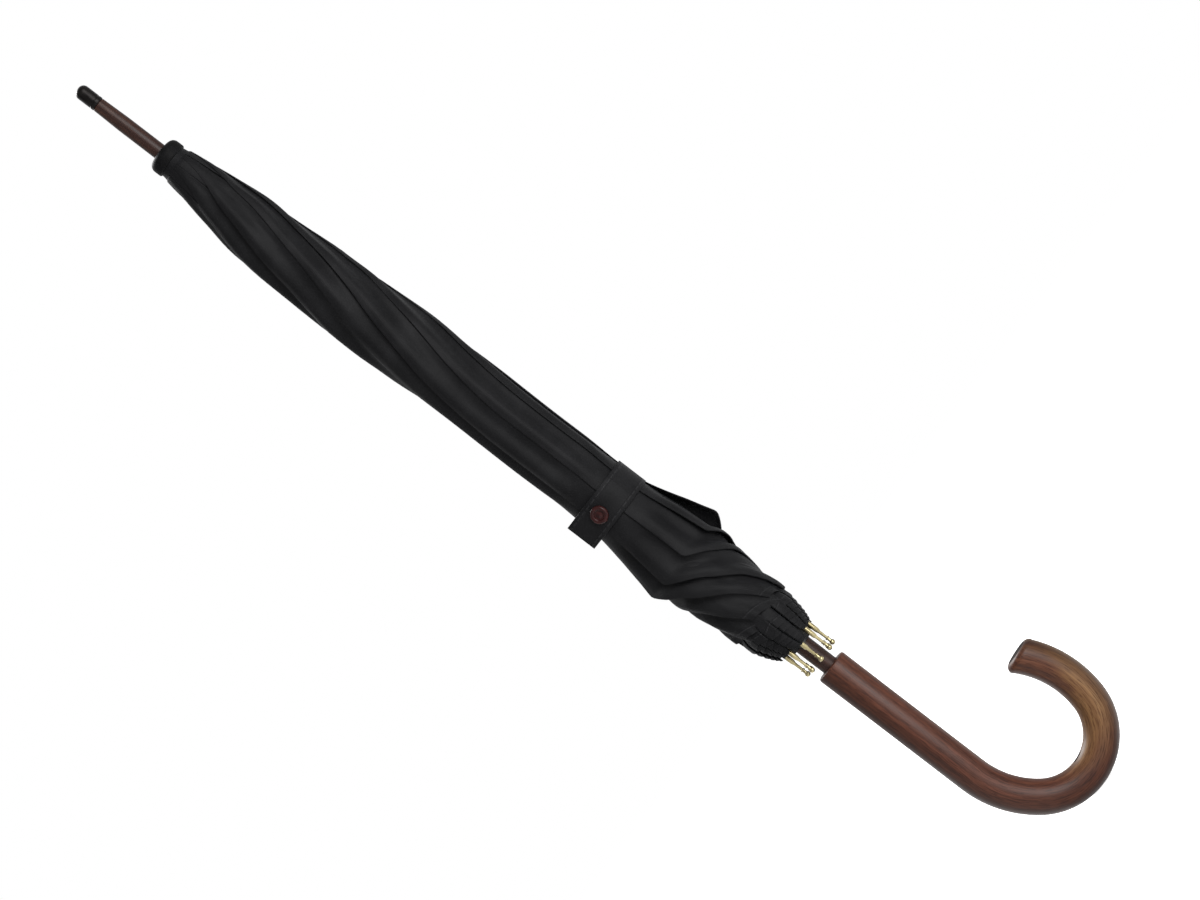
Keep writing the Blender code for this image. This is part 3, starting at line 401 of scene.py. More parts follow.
def stained_beech(name, tones, attribute=None, arm_tones=None):
    """Steam bent beech, stained and waxed: fine straight grain, short dark pores and a soft satin gloss.

    The grain runs along Z of the bar. A bent piece gives it by an attribute, may fade to paler arm tones, and
    gets painted shade: darker towards the outer side of its bend.
    """
    material, tree, shader = new_material(name, ior=1.46, specular_ior_level=0.16)
    if attribute:
        bar = add_node(tree, "ShaderNodeAttribute", attribute_name=attribute).outputs["Vector"]
    else:
        bar = add_node(tree, "ShaderNodeTexCoord").outputs["Object"]
    grain_place = add_node(tree, "ShaderNodeMapping", {"Vector": bar, "Scale": grain_scale(*GRAIN_SIZE)})
    grain = add_node(
        tree,
        "ShaderNodeTexNoise",
        {"Vector": grain_place.outputs["Vector"], "Scale": 1.0, "Detail": 6.0, "Roughness": 0.62},
    ).outputs["Fac"]
    pore_place = add_node(tree, "ShaderNodeMapping", {"Vector": bar, "Scale": grain_scale(*PORE_SIZE)})
    pores = add_node(
        tree, "ShaderNodeTexNoise", {"Vector": pore_place.outputs["Vector"], "Scale": 1.0, "Detail": 2.0}
    ).outputs["Fac"]
    stops = zip(GRAIN_STOPS, tones)
    colour = add_node(tree, "ShaderNodeValToRGB", {"Fac": grain}, stops).outputs["Color"]
    if arm_tones:
        split = add_node(tree, "ShaderNodeSeparateXYZ", {"Vector": bar})
        along = add_node(
            tree,
            "ShaderNodeMath",
            {0: split.outputs["X"], 1: STAIN_INWARD, 2: split.outputs["Z"]},
            operation="MULTIPLY_ADD",
        ).outputs["Value"]
        cloud_size = grain_scale(*STAIN_CLOUD_SIZE)
        cloud_place = add_node(tree, "ShaderNodeMapping", {"Vector": bar, "Scale": cloud_size})
        cloud = add_node(
            tree, "ShaderNodeTexNoise", {"Vector": cloud_place.outputs["Vector"], "Scale": 1.0, "Detail": 3.0}
        ).outputs["Fac"]
        uneven = add_node(
            tree, "ShaderNodeMath", {0: cloud, 1: STAIN_UNEVEN, 2: along}, operation="MULTIPLY_ADD"
        ).outputs["Value"]
        share = add_node(
            tree,
            "ShaderNodeMapRange",
            {"Value": uneven, "From Min": STAIN_FADE[0], "From Max": STAIN_FADE[1]},
            interpolation_type="SMOOTHSTEP",
        ).outputs["Result"]
        whole = add_node(
            tree,
            "ShaderNodeMapRange",
            {
                "Value": uneven,
                "From Min": STAIN_BACK[0],
                "From Max": STAIN_BACK[1],
                "To Min": 1.0,
                "To Max": STAIN_BACK_SHARE,
            },
            interpolation_type="SMOOTHSTEP",
        ).outputs["Result"]
        share = add_node(tree, "ShaderNodeMath", {0: share, 1: whole}, operation="MULTIPLY").outputs["Value"]
        stops = zip(GRAIN_STOPS, arm_tones)
        pale = add_node(tree, "ShaderNodeValToRGB", {"Fac": grain}, stops).outputs["Color"]
        colour = add_node(
            tree, "ShaderNodeMix", {"Factor": share, "A": colour, "B": pale}, data_type="RGBA"
        ).outputs["Result"]
        # Painted shade: the colour is multiplied darker towards the outer side of the bend, standing in for
        # the shade there
        outer = add_node(
            tree,
            "ShaderNodeMapRange",
            {
                "Value": split.outputs["X"],
                "From Min": PAINTED_OUTER_SHADE[0],
                "From Max": PAINTED_OUTER_SHADE[1],
                "To Min": PAINTED_OUTER_SHADE_SHARE,
            },
        ).outputs["Result"]
        colour = add_node(
            tree,
            "ShaderNodeMix",
            {"Factor": 1.0, "A": colour, "B": outer},
            data_type="RGBA",
            blend_type="MULTIPLY",
        ).outputs["Result"]
    stops = ((0.36, "#8f7d76"), (0.50, "#ffffff"))
    pore_tone = add_node(tree, "ShaderNodeValToRGB", {"Fac": pores}, stops).outputs["Color"]
    colour = add_node(
        tree,
        "ShaderNodeMix",
        {"Factor": PORE_SHARE, "A": colour, "B": pore_tone},
        data_type="RGBA",
        blend_type="MULTIPLY",
    ).outputs["Result"]
    least, most = BEECH_ROUGHNESS
    rough = add_node(tree, "ShaderNodeMapRange", {"Value": grain, "To Min": least, "To Max": most})
    height = add_node(tree, "ShaderNodeMath", {0: grain, 1: pores}, operation="ADD").outputs["Value"]
    bump = add_node(tree, "ShaderNodeBump", {"Strength": 0.12, "Distance": 0.0003, "Height": height})
    tree.links.new(colour, shader.inputs["Base Color"])
    tree.links.new(rough.outputs["Result"], shader.inputs["Roughness"])
    tree.links.new(bump.outputs["Normal"], shader.inputs["Normal"])
    return material


def end_grain():
    """Sawn and stained end of the crook: darker than its side, with fine rings."""
    material, tree, shader = new_material("stained_end_grain", roughness=0.7, specular_ior_level=0.05)
    place = add_node(tree, "ShaderNodeTexCoord").outputs["Object"]
    rings = add_node(
        tree,
        "ShaderNodeTexWave",
        {"Vector": place, "Scale": WAVE_TURN / RING_SPACING, "Distortion": 2.5, "Detail": 3.0},
        wave_type="RINGS",
    ).outputs["Fac"]
    stops = ((0.2, "#0d0705"), (0.8, "#170d09"))
    colour = add_node(tree, "ShaderNodeValToRGB", {"Fac": rings}, stops).outputs["Color"]
    tree.links.new(colour, shader.inputs["Base Color"])
    return material


def woven_polyester(name):
    """Black plain woven polyester: matt, with a faint grey sheen, a fine thread grid and a stitched hem."""
    material, tree, shader = new_material(
        name, roughness=0.55, specular_ior_level=0.05, sheen_weight=0.04, sheen_roughness=0.45
    )
    shader.inputs["Sheen Tint"].default_value = linear("#8d8f96")
    cloth = add_node(tree, "ShaderNodeUVMap", uv_map="cloth").outputs["UV"]
    edge = add_node(tree, "ShaderNodeUVMap", uv_map="edge").outputs["UV"]
    split = add_node(tree, "ShaderNodeSeparateXYZ", {"Vector": edge})
    thread = WAVE_TURN / THREAD_SPACING
    warp = add_node(tree, "ShaderNodeTexWave", {"Vector": cloth, "Scale": thread}, bands_direction="X")
    weft = add_node(tree, "ShaderNodeTexWave", {"Vector": cloth, "Scale": thread}, bands_direction="Y")
    weave = add_node(
        tree, "ShaderNodeMath", {0: warp.outputs["Fac"], 1: weft.outputs["Fac"]}, operation="MULTIPLY"
    ).outputs["Value"]
    cloud = add_node(
        tree, "ShaderNodeTexNoise", {"Vector": cloth, "Scale": 1 / CLOTH_CLOUD_SIZE, "Detail": 4.0}
    ).outputs["Fac"]
    stops = ((0.30, "#0b0b0c"), (0.70, "#131314"))
    colour = add_node(tree, "ShaderNodeValToRGB", {"Fac": cloud}, stops).outputs["Color"]
    off_line = add_node(tree, "ShaderNodeMath", {0: split.outputs["Y"], 1: HEM_STITCH}, operation="SUBTRACT")
    distance = add_node(tree, "ShaderNodeMath", {0: off_line.outputs["Value"]}, operation="ABSOLUTE")
    on_line = add_node(
        tree, "ShaderNodeMath", {0: distance.outputs["Value"], 1: STITCH_HALF_WIDTH}, operation="LESS_THAN"
    )
    step = add_node(
        tree, "ShaderNodeMath", {0: split.outputs["X"], 1: STITCH_HALF_PITCH}, operation="PINGPONG"
    )
    on_step = add_node(
        tree, "ShaderNodeMath", {0: step.outputs["Value"], 1: STITCH_HALF_GAP}, operation="GREATER_THAN"
    )
    stitch = add_node(
        tree,
        "ShaderNodeMath",
        {0: on_line.outputs["Value"], 1: on_step.outputs["Value"]},
        operation="MULTIPLY",
    ).outputs["Value"]
    hem = add_node(
        tree,
        "ShaderNodeMapRange",
        {"Value": split.outputs["Y"], "From Min": HEM_FOLD[0], "From Max": HEM_FOLD[1]},
    ).outputs["Result"]
    colour = add_node(
        tree,
        "ShaderNodeMix",
        {"Factor": stitch, "A": colour, "B": linear("#1c1c1d")},
        data_type="RGBA",
    ).outputs["Result"]
    tree.links.new(colour, shader.inputs["Base Color"])
    fine = add_node(tree, "ShaderNodeBump", {"Strength": 0.22, "Distance": 0.0002, "Height": weave})
    fold = add_node(
        tree,
        "ShaderNodeBump",
        {"Strength": 0.6, "Distance": 0.0004, "Height": hem, "Normal": fine.outputs["Normal"]},
        invert=True,
    )
    sewn = add_node(
        tree,
        "ShaderNodeBump",
        {"Strength": 0.5, "Distance": 0.0004, "Height": stitch, "Normal": fold.outputs["Normal"]},
    )
    tree.links.new(sewn.outputs["Normal"], shader.inputs["Normal"])
    return material


def handled_surface(name, tones, rough, metallic=1.0, specular=0.5):
    """A hard smooth surface with a slightly uneven tone and gloss, from its making and from handling."""
    material, tree, shader = new_material(name, metallic=metallic, specular_ior_level=specular)
    place = add_node(tree, "ShaderNodeTexCoord").outputs["Object"]
    marks = grain_scale(MARK_SIZE, 3 * MARK_SIZE)
    cloud_place = add_node(tree, "ShaderNodeMapping", {"Vector": place, "Scale": marks})
    cloud = add_node(
        tree, "ShaderNodeTexNoise", {"Vector": cloud_place.outputs["Vector"], "Scale": 1.0, "Detail": 4.0}
    ).outputs["Fac"]
    stops = zip((0.3, 0.7), tones)
    colour = add_node(tree, "ShaderNodeValToRGB", {"Fac": cloud}, stops).outputs["Color"]
    tree.links.new(colour, shader.inputs["Base Color"])
    uneven = add_node(
        tree, "ShaderNodeMapRange", {"Value": cloud, "To Min": rough[0], "To Max": rough[1]}
    ).outputs["Result"]
    tree.links.new(uneven, shader.inputs["Roughness"])
    bump = add_node(tree, "ShaderNodeBump", {"Strength": 0.06, "Distance": 0.0002, "Height": cloud})
    tree.links.new(bump.outputs["Normal"], shader.inputs["Normal"])
    return material


# Beech stained red brown, with a satin gloss; paler and yellower where hands have worn the crook
HANDLE_WOOD = stained_beech(
    "stained_bent_beech", ("#2f1912", "#402318", "#513024"), BAR_ATTRIBUTE, ("#452e1b", "#5e4229", "#705436")
)
# The same beech left straight and stained darker, so that the ferrule looks nearly black brown
SHAFT_WOOD = stained_beech("stained_straight_beech", ("#190d09", "#25140f", "#352118"))
# Sawn wood drinks the stain: a dark face with hardly any gloss
END_GRAIN = end_grain()
# Cloth woven from black yarn: it drinks the light, and its folds show by a faint grey sheen
CLOTH = woven_polyester("black_woven_polyester")
# Brass drawn into tubes: pale yellow and bright, a little uneven along the tube
BRASS = handled_surface("pale_drawn_brass", ("#685f45", "#8f8667"), (0.18, 0.30))
# Steel turned and darkened: almost black, with a blurred highlight
GUNMETAL = handled_surface("gunmetal_cap", ("#121111", "#1e1d1c"), (0.34, 0.50))
# Sheet steel under thin black japan: dark grey, half metal and half lacquer
BLACK_STEEL = handled_surface("black_japanned_steel", ("#121213", "#1d1d1f"), (0.32, 0.48), metallic=0.6)
# Baked enamel: an even black with a soft gloss
ENAMEL = handled_surface("black_enamel", ("#101011", "#1a1a1b"), (0.30, 0.44), metallic=0.0, specular=0.12)
# Nylon from a mould: a dull deep black
CAP_NYLON = handled_surface(
    "black_moulded_nylon", ("#090909", "#0f0f10"), (0.48, 0.62), metallic=0.0, specular=0.03
)
# Lacquer brushed on metal: very dark red, shining at its rims
SNAP_LACQUER = handled_surface(
    "dark_red_lacquer", ("#1f0a0a", "#2d1110"), (0.24, 0.34), metallic=0.0, specular=0.10
)


def put_in_scene(name, data):
    """An object of this data, linked into the scene."""
    item = bpy.data.objects.new(name, data)
    bpy.context.collection.objects.link(item)
    return item


def select_only(piece):
    """Leaves one piece selected and active."""
    bpy.ops.object.select_all(action="DESELECT")
    piece.select_set(True)
    bpy.context.view_layer.objects.active = piece


def finish_piece(piece, material):
    """Turns faces outwards, smooths them and leaves the object's place in its mesh."""
    bpy.ops.object.mode_set(mode="EDIT")
    bpy.ops.mesh.select_all(action="SELECT")
    bpy.ops.mesh.remove_doubles(threshold=MERGE_DISTANCE)
    bpy.ops.mesh.normals_make_consistent(inside=False)
    bpy.ops.object.mode_set(mode="OBJECT")
    bpy.ops.object.transform_apply(location=True, rotation=True, scale=True)
    bpy.ops.object.shade_smooth_by_angle(angle=SHARP_ANGLE)
    piece.data.materials.append(material)
    return piece


def turned(name, profile, sides, material, filled=True):
    """A piece turned round Z by pulling a ring along (radius, height) pairs."""
    bpy.ops.object.select_all(action="DESELECT")
    radius, height = profile[0]
    bpy.ops.mesh.primitive_circle_add(
        vertices=sides, radius=radius, fill_type="NGON" if filled else "NOTHING", location=(0, 0, height)
    )
    piece = bpy.context.object
    piece.name = name
    bpy.ops.object.mode_set(mode="EDIT")
    bpy.ops.mesh.select_all(action="SELECT")
    for next_radius, next_height in profile[1:]:
        bpy.ops.mesh.extrude_region_move(
            TRANSFORM_OT_translate={"value": (0, 0, next_height - height)}
        )
        share = next_radius / radius
        bpy.ops.transform.resize(value=(share, share, 1))
        radius, height = next_radius, next_height
    bpy.ops.object.mode_set(mode="OBJECT")
    return finish_piece(piece, material)


def rounded(radius, height, size, steps, way=1):
    """(radius, height) pairs of a quarter round outer corner, going up (way 1) or down (way -1)."""
    angles = [math.pi / 2 * i / steps for i in range(steps + 1)]
    return [
        (radius - size + size * math.cos(a), height - way * size + way * size * math.sin(a)) for a in angles
    ]


def dress(piece, body, slot, *nodes):
    """Rides a finished piece on its body in place of CAD nodes."""
    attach(piece, body)
    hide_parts(*nodes)
    return piece


def make_stick():
    """Wooden shaft with its turned ferrule, and the metal cap on its end."""
    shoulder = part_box("top_notch")[0].z - CLEARANCE
    seat = STICK_END - TIP_LENGTH
    shaft_end = seat - CLEARANCE
    waist_radius, waist_height = FERRULE_WAIST
    chamfer_in, chamfer_drop = FERRULE_CHAMFER
    shaft = turned(
        "shaft_turned",
        [
            (SHAFT_RADIUS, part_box("shaft")[0].z),
            (SHAFT_RADIUS, shoulder),
            (FERRULE_RADIUS, shoulder),
            (FERRULE_RADIUS, NOTCH + FERRULE_STRAIGHT),
            (waist_radius, NOTCH + waist_height),
            (FERRULE_END, shaft_end - chamfer_drop),
            (FERRULE_END - chamfer_in, shaft_end),
            (PEG_RADIUS, shaft_end),
            (PEG_RADIUS, STICK_END - PEG_SHORT),
        ],
        TURNED_SIDES,
        SHAFT_WOOD,
    )
    cut_slots(shaft)
    dress(shaft, "stick", "shaft_wood", "shaft")
    cap = turned(
        "ferrule_cap",
        [
            (TIP_BORE, STICK_END - TIP_WALL),
            (TIP_BORE, seat),
            *[(radius, seat + height) for radius, height in TIP_BEAD],
            *rounded(TIP_RADIUS, STICK_END, TIP_ROUND, steps=8),
        ],
        TURNED_SIDES,
        GUNMETAL,
    )
    dress(cap, "stick", "dark_metal", "ferrule_tip")


def cut_slots(shaft):
    """Cuts the slots of the two catches into the shaft."""
    tools = []
    for name in ("bottom_catch", "top_catch"):
        low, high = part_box(name)
        pin = Vector(JOINTS[name + "_press"]["pos_m"])
        azimuth = math.atan2(pin.y, pin.x)
        bpy.ops.object.select_all(action="DESELECT")
        bpy.ops.mesh.primitive_cube_add(size=1.0)
        tool = bpy.context.object
        tool.scale = (SLOT_LENGTH, SLOT_WIDTH, high.z - low.z + 2 * CLEARANCE)
        tool.rotation_euler = (0, 0, azimuth)
        tool.location = Vector((math.cos(azimuth), math.sin(azimuth), 0)) * SHAFT_RADIUS
        tool.location.z = (low.z + high.z) / 2
        tools.append(tool)
    for tool in tools:
        boolean = shaft.modifiers.new("slot", "BOOLEAN")
        boolean.object = tool
        select_only(shaft)
        bpy.ops.object.modifier_apply(modifier="slot")
    for tool in tools:
        bpy.data.objects.remove(tool)


def make_cap():
    """Ring over the top of the canopy: a cup with a rolled rim and a domed crown."""
    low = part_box("cap_ring")[0].z
    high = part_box("cap_ring")[1].z
    collar = [(radius, high - drop) for radius, drop in CAP_COLLAR]
    profile = [
        (CAP_INNER, low),
        *reversed(rounded(CAP_OUTER, low, CAP_RIM_ROUND, steps=4, way=-1)),
        *rounded(CAP_OUTER, high, CAP_CROWN_ROUND, steps=8),
        *collar,
        (CAP_INNER, collar[-1][1]),
        (CAP_INNER, low),
    ]
    cap = turned("cap_cup", profile, CAP_SIDES, CAP_NYLON, filled=False)
    dress(cap, "stick", "black_cloth", "cap_ring")


def select_points(piece, test):
    """Selects, in edit mode, the points that pass a test of their place."""
    sculpt = bmesh.from_edit_mesh(piece.data)
    for point in sculpt.verts:
        point.select_set(test(piece.matrix_world @ point.co))
    sculpt.select_flush_mode()
    bmesh.update_edit_mesh(piece.data)


def bend_outward(bend):
    """Direction away from the crook's inside; bend 0 is at the grip and grows round the crook."""
    return Vector((-math.cos(bend), 0, -math.sin(bend)))


def handle_arcs():
    """Each arc of the handle: its centre, radius, first bend and angle, and the bar's run up to it."""
    arcs = []
    place = Vector((0, 0, HANDLE_TOP - STRAIGHT_LENGTH))
    bend = 0.0
    run = STRAIGHT_LENGTH
    for radius, angle in HANDLE_BENDS:
        centre = place - radius * bend_outward(bend)
        arcs.append((centre, radius, bend, angle, run))
        bend += angle
        run += radius * angle
        place = centre + radius * bend_outward(bend)
    return arcs


def make_handle():
    """Bent crook: a ring drawn down the grip, swung round three arcs, sawn off and rounded at its end."""
    bore = SHAFT_RADIUS + CLEARANCE
    bpy.ops.object.select_all(action="DESELECT")
    bpy.ops.mesh.primitive_circle_add(
        vertices=TURNED_SIDES, radius=bore, fill_type="NGON", location=(0, 0, HANDLE_TOP - SOCKET_DEPTH)
    )
    piece = bpy.context.object
    piece.name = "crook_handle"
    bpy.ops.object.mode_set(mode="EDIT")
    bpy.ops.mesh.select_all(action="SELECT")
    # Up the socket, out across the top, down the rim, which is rounded in two steps, and down the grip
    rim = GRIP_RADIUS - GRIP_CHAMFER
    first_drop, width_left = RIM_STEP
    rim_middle = GRIP_RADIUS - GRIP_CHAMFER * width_left
    pulls = [
        (SOCKET_DEPTH, 1.0),
        (0.0, rim / bore),
        (-GRIP_CHAMFER * first_drop, rim_middle / rim),
        (-GRIP_CHAMFER * (1 - first_drop), GRIP_RADIUS / rim_middle),
        (GRIP_CHAMFER - STRAIGHT_LENGTH, 1.0),
    ]
    for drop, share in pulls:
        bpy.ops.mesh.extrude_region_move(TRANSFORM_OT_translate={"value": (0, 0, drop)})
        bpy.ops.transform.resize(value=(share, share, 1))
    arcs = handle_arcs()
    for centre, _, _, angle, _ in arcs:
        swing = angle + (ARM_SPARE if centre is arcs[-1][0] else 0.0)
        steps = math.ceil(math.degrees(swing) / ARC_STEP)
        bpy.ops.mesh.spin(steps=steps, angle=swing, center=centre, axis=(0, 1, 0))
    arm_centre, arm_radius, start, angle, _ = arcs[-1]
    end = start + angle
    along = Vector((math.sin(end), 0, -math.cos(end)))
    middle = arm_centre + arm_radius * bend_outward(end)
    normal = Matrix.Rotation(ARM_CUT_ANGLE, 3, "Y") @ along
    bottom = arcs[1][0]
    select_points(piece, lambda place: place.x > bottom.x and place.z > bottom.z)
    bpy.ops.mesh.bisect(plane_co=middle, plane_no=normal, use_fill=True, clear_outer=True)
    risen = 0.0
    radius = GRIP_RADIUS
    for turn in np.linspace(0, math.pi / 2, ARM_END_STEPS)[1:]:
        rise = ARM_END_ROUND * math.sin(turn)
        next_radius = GRIP_RADIUS - ARM_END_ROUND * (1 - math.cos(turn))
        bpy.ops.mesh.extrude_region_move(TRANSFORM_OT_translate={"value": normal * (rise - risen)})
        share = next_radius / radius
        bpy.ops.transform.resize(value=(share, share, share), center_override=middle + normal * rise)
        risen = rise
        radius = next_radius
    bpy.ops.object.mode_set(mode="OBJECT")
    finish_piece(piece, HANDLE_WOOD)
    piece.data.materials.append(END_GRAIN)
    for face in piece.data.polygons:
        if face.normal.dot(normal) > END_FACING and face.center.x > bottom.x:
            face.material_index = 1
    straighten(piece, arcs)
    dress(piece, "stick", "stained_wood", "handle")


def straighten(piece, arcs):
    """Writes where each point lay in the bar before it was bent, so that the grain follows the crook."""
    place = piece.data.attributes.new(BAR_ATTRIBUTE, "FLOAT_VECTOR", "POINT")
    for point, item in zip(piece.data.vertices, place.data):
        x, y, z = point.co
        across = x
        run = HANDLE_TOP - z
        for centre, radius, start, _, run_before in arcs:
            bend = math.atan2(centre.z - z, centre.x - x)
            bend += 2 * math.pi * (bend < -math.pi / 2)
            if bend > start:
                across = radius - math.hypot(centre.x - x, centre.z - z)
                run = run_before + radius * (bend - start)
        item.vector = (across, y, run)


def rib_place(angle):
    """Matrix from a rib's own space (hinge at the origin, hanging down, +X outwards) to the frame."""
    return (
        Matrix.Rotation(angle, 4, "Z")
        @ Matrix.Translation((PIVOT_RADIUS, 0, NOTCH))
        @ Matrix.Rotation(-math.atan(RIB_LEAN), 4, "Y")
    )


def make_rib_tips():
    """Brass ends of the ribs: a crimped tube, a slim neck with a collar, and a ball."""
    top = -(RIB_LENGTH - RIB_END_LENGTH) - CLEARANCE
    ball_place = -RIB_LENGTH + BALL_RADIUS
    turns = math.pi * np.linspace(*BALL_ARC, BALL_STEPS + 1)
    profile = [(radius, top - drop) for radius, drop in RIB_END]
    profile += [(BALL_RADIUS * math.sin(a), ball_place + BALL_RADIUS * math.cos(a)) for a in turns]
    model = turned("rib_end", profile, RIB_END_SIDES, BRASS)
    model.data.transform(Matrix.Translation((RIB_MIDDLE, 0, 0)))
    for number in range(1, RIB_COUNT + 1):
        tip = model.copy()
        tip.data = model.data.copy()
        tip.name = f"rib_end_{number}"
        bpy.context.collection.objects.link(tip)
        tip.data.transform(rib_place(SECTOR * (number - 1)))
        dress(tip, f"rib_{number}", "brass", f"rib_tip_{number}")
    bpy.data.objects.remove(model)


def smooth_step(value):
    """Eases from 0 to 1."""
    share = np.clip(value, 0, 1)
    return share * share * (3 - 2 * share)


def between(depth, stations, ease):
    """Value at a depth from (depth, value) stations, with their corners eased over a length."""
    places, values = zip(*stations)
    offsets = np.linspace(-ease, ease, EASE_SAMPLES)
    return np.mean([np.interp(depth + offset, places, values) for offset in offsets], axis=0)


def rib_line(depth):
    """Radius at which cloth lies on a rib's back, or on the notch above the rib."""
    on_notch = NOTCH_RADIUS + NOTCH_STAND
    stand = np.interp(depth, RIB_STAND_DEPTHS, RIB_STAND)
    on_rib = PIVOT_RADIUS + RIB_BACK + depth * RIB_LEAN + stand
    return on_notch + (on_rib - on_notch) * smooth_step(depth / NOTCH_DROP)


def cut_width(depth):
    """Width of a gore's cut at a depth: the arc between two open ribs."""
    return SECTOR * (PIVOT_RADIUS + depth * math.sin(OPEN_ANGLE))


def gore_columns():
    """Lines along a gore, in order across it: pleats on its rib, the lap out, its fold, the lap back, pleats.

    Each has its share of the lap's reach, its layer in the lap (0 outside, 1 inside), its share of the
    pleats' height, its swing in the pleats (0 near the rib's middle, 1 far) and the pleats' side of the rib.
    """
    steps = np.arange(2 * PLEATS * PLEAT_POINTS + 1)
    pleats = steps / steps[-1]
    eased = 0.5 - 0.5 * np.cos(math.pi * (steps % PLEAT_POINTS) / PLEAT_POINTS)
    swing = np.where(steps // PLEAT_POINTS % 2 == 0, eased, 1 - eased)
    lap = 1 - np.linspace(1, 0, LAP_COLUMNS) ** EDGE_CROWDING
    blank = np.zeros_like(pleats)
    reach = np.concatenate([blank, lap, [1.0], lap[::-1], blank])
    layer = np.concatenate([blank, 0 * lap, [0.5], 0 * lap + 1, blank])
    height = np.concatenate([pleats, 0 * lap, [0.0], 0 * lap, pleats[::-1]])
    swing = np.concatenate([swing, 0 * lap, [0.0], 0 * lap, swing[::-1]])
    side = np.concatenate([blank + 1, 0 * lap, [0.0], 0 * lap, blank - 1])
    return reach, layer, height, swing, side


def clear_of_strap(depth):
    """0 under the strap, which presses the cloth smooth, and 1 well away from it."""
    strap = NOTCH - (STRAP_LOW + STRAP_HIGH) / 2
    return smooth_step((np.abs(depth - strap) - STRAP_PRESS[0]) / STRAP_PRESS[1])


def roll_at(depth, habit):
    """The roll at a depth: radius on the ribs, outer radius, step between laps, a lap's turns, fullness."""
    base = rib_line(depth)
    tucked = TUCK_RADIUS + TUCK_SLOPE * np.maximum(depth - TUCK_DEPTH, 0)
    roll = np.minimum(between(depth, ROLL, ROLL_EASE), tucked)
    roll = np.maximum(roll, base + np.clip(LEAST_SLOPE * depth, *LEAST_THICKNESS))
    thick = roll - base
    pitch = np.minimum(LAP_PITCH, PITCH_SHARE * thick)
    twist = LAP_TOP + (LAP_START - LAP_TOP) * smooth_step(depth / LAP_TOP_DEPTH)
    twist = twist + (LAP_FULL - LAP_START) * smooth_step(depth / LAP_TWIST_DEPTH)
    stepped = smooth_step((depth - HEM_STEP[0]) / HEM_STEP[1])
    lowered = depth - habit["corner"] - habit["step"] * stepped
    turns = np.minimum(twist, between(lowered, HEM_LINE, EDGE_EASE)) + habit["turns"]
    full = np.minimum(1, thick / FULL_THICKNESS) * clear_of_strap(depth)
    return base, roll, pitch, turns, full


def lap_radius(roll, pitch, full, from_edge, layer):
    """Radius of a lap's layer (0 outside, 1 inside), a number of sectors from its edge."""
    swell = FOLD_SWELL * np.clip(1 - from_edge / FOLD_SWELL_REACH, 0, 1) * full
    ridge = RIDGE * full * np.sin(2 * math.pi * from_edge)
    return roll - pitch * from_edge - LAYER_SHARE * pitch * layer + swell * (1 - 2 * layer) + ridge


def gore_shape(depth, columns, habit):
    """Radius, azimuth from the rib (in sectors, towards the lap) and share of the roll's thickness."""
    reach, layer, height, swing, side = columns
    base, roll, pitch, turns, full = roll_at(depth, habit)
    from_edge = turns * (1 - reach)
    gap = LAYER_SHARE * pitch
    on_lap = lap_radius(roll, pitch, full, from_edge, layer)
    lap_azimuth = turns * reach + (layer == 0.5) * 0.5 * gap / (roll * SECTOR)
    lift = np.clip(1 - from_edge / FLARE_REACH, 0, 1) ** 2
    on_lap = on_lap + habit["flare"] * lift * between(depth - habit["corner"], FLARE, EDGE_EASE)
    top = roll - pitch * turns - gap - CLEARANCE - RIDGE * full
    opened = smooth_step((depth - PLEAT_SPREAD[0]) / (PLEAT_SPREAD[1] - PLEAT_SPREAD[0]))
    top = np.maximum(top + (roll - top) * opened, base + PLEAT_LEAST)
    spare = CUT_SHARE * cut_width(depth) - 2 * turns * SECTOR * (roll - LAP_INSET)
    pleat_radius = base + (top - base) * height
    room = pleat_radius * math.tan(SECTOR / 2) - 3 * PLEAT_INSET
    wider_outside = PLEAT_WIDTHS[0] + PLEAT_WIDTHS[1] * height**2
    fullness = np.where(side > 0, habit["near"], habit["far"])
    width = np.clip(wider_outside * spare / (4 * PLEATS), PLEAT_LEAST, room * fullness)
    sideways = side * (PLEAT_INSET + width * swing) * (height > 0)
    is_pleat = side != 0
    radius = np.where(is_pleat, pleat_radius, on_lap)
    azimuth = np.where(is_pleat, -sideways / (pleat_radius * SECTOR), lap_azimuth)
    return radius, azimuth, np.clip((radius - base) / (roll - base), 0, 1)


def gore_rows(across, habit):
    """Depths of a gore's rows for each column: level ones first, then rows that slant to the curved hem."""
    hem = HEM_DEPTH + habit["hem"] - HEM_RISE * (1 - (2 * across - 1) ** 2)
    level = np.concatenate(
        [TOP_ROWS, *[np.linspace(start, end, count, endpoint=False) for start, end, count in LEVEL_ROWS]]
    )
    last = np.linspace(0, 1, HEM_ROWS)[:, None]
    slanted = LEVEL_END + (hem - LEVEL_END) * last
    rows = np.concatenate([np.repeat(level[:, None], len(across), axis=1), slanted])
    return rows, hem


def across_shares(columns):
    """Share of the gore's width at each column, from the lengths of its folds where the roll is full."""
    depth = np.full(len(columns[0]), FULL_DEPTH)
    habit = {"corner": 0.0, "turns": 0.0, "flare": 0.0, "step": 0.0, "near": 1.0, "far": 1.0}
    radius, azimuth, _ = gore_shape(depth, columns, habit)
    points = np.stack([radius * np.cos(azimuth * SECTOR), radius * np.sin(azimuth * SECTOR)], axis=1)
    lengths = np.linalg.norm(np.diff(points, axis=0), axis=1)
    run = np.concatenate([[0.0], np.cumsum(lengths)])
    return run / run[-1]


def crease(kind, number, azimuth, depth):
    """Height of one kind of small fold at a place on a gore's cloth."""
    height, waves_round, slant, waves_down, shift = kind
    place = Vector((waves_round * azimuth + slant * depth, waves_down * depth, shift * number))
    return height * noise.noise(place)


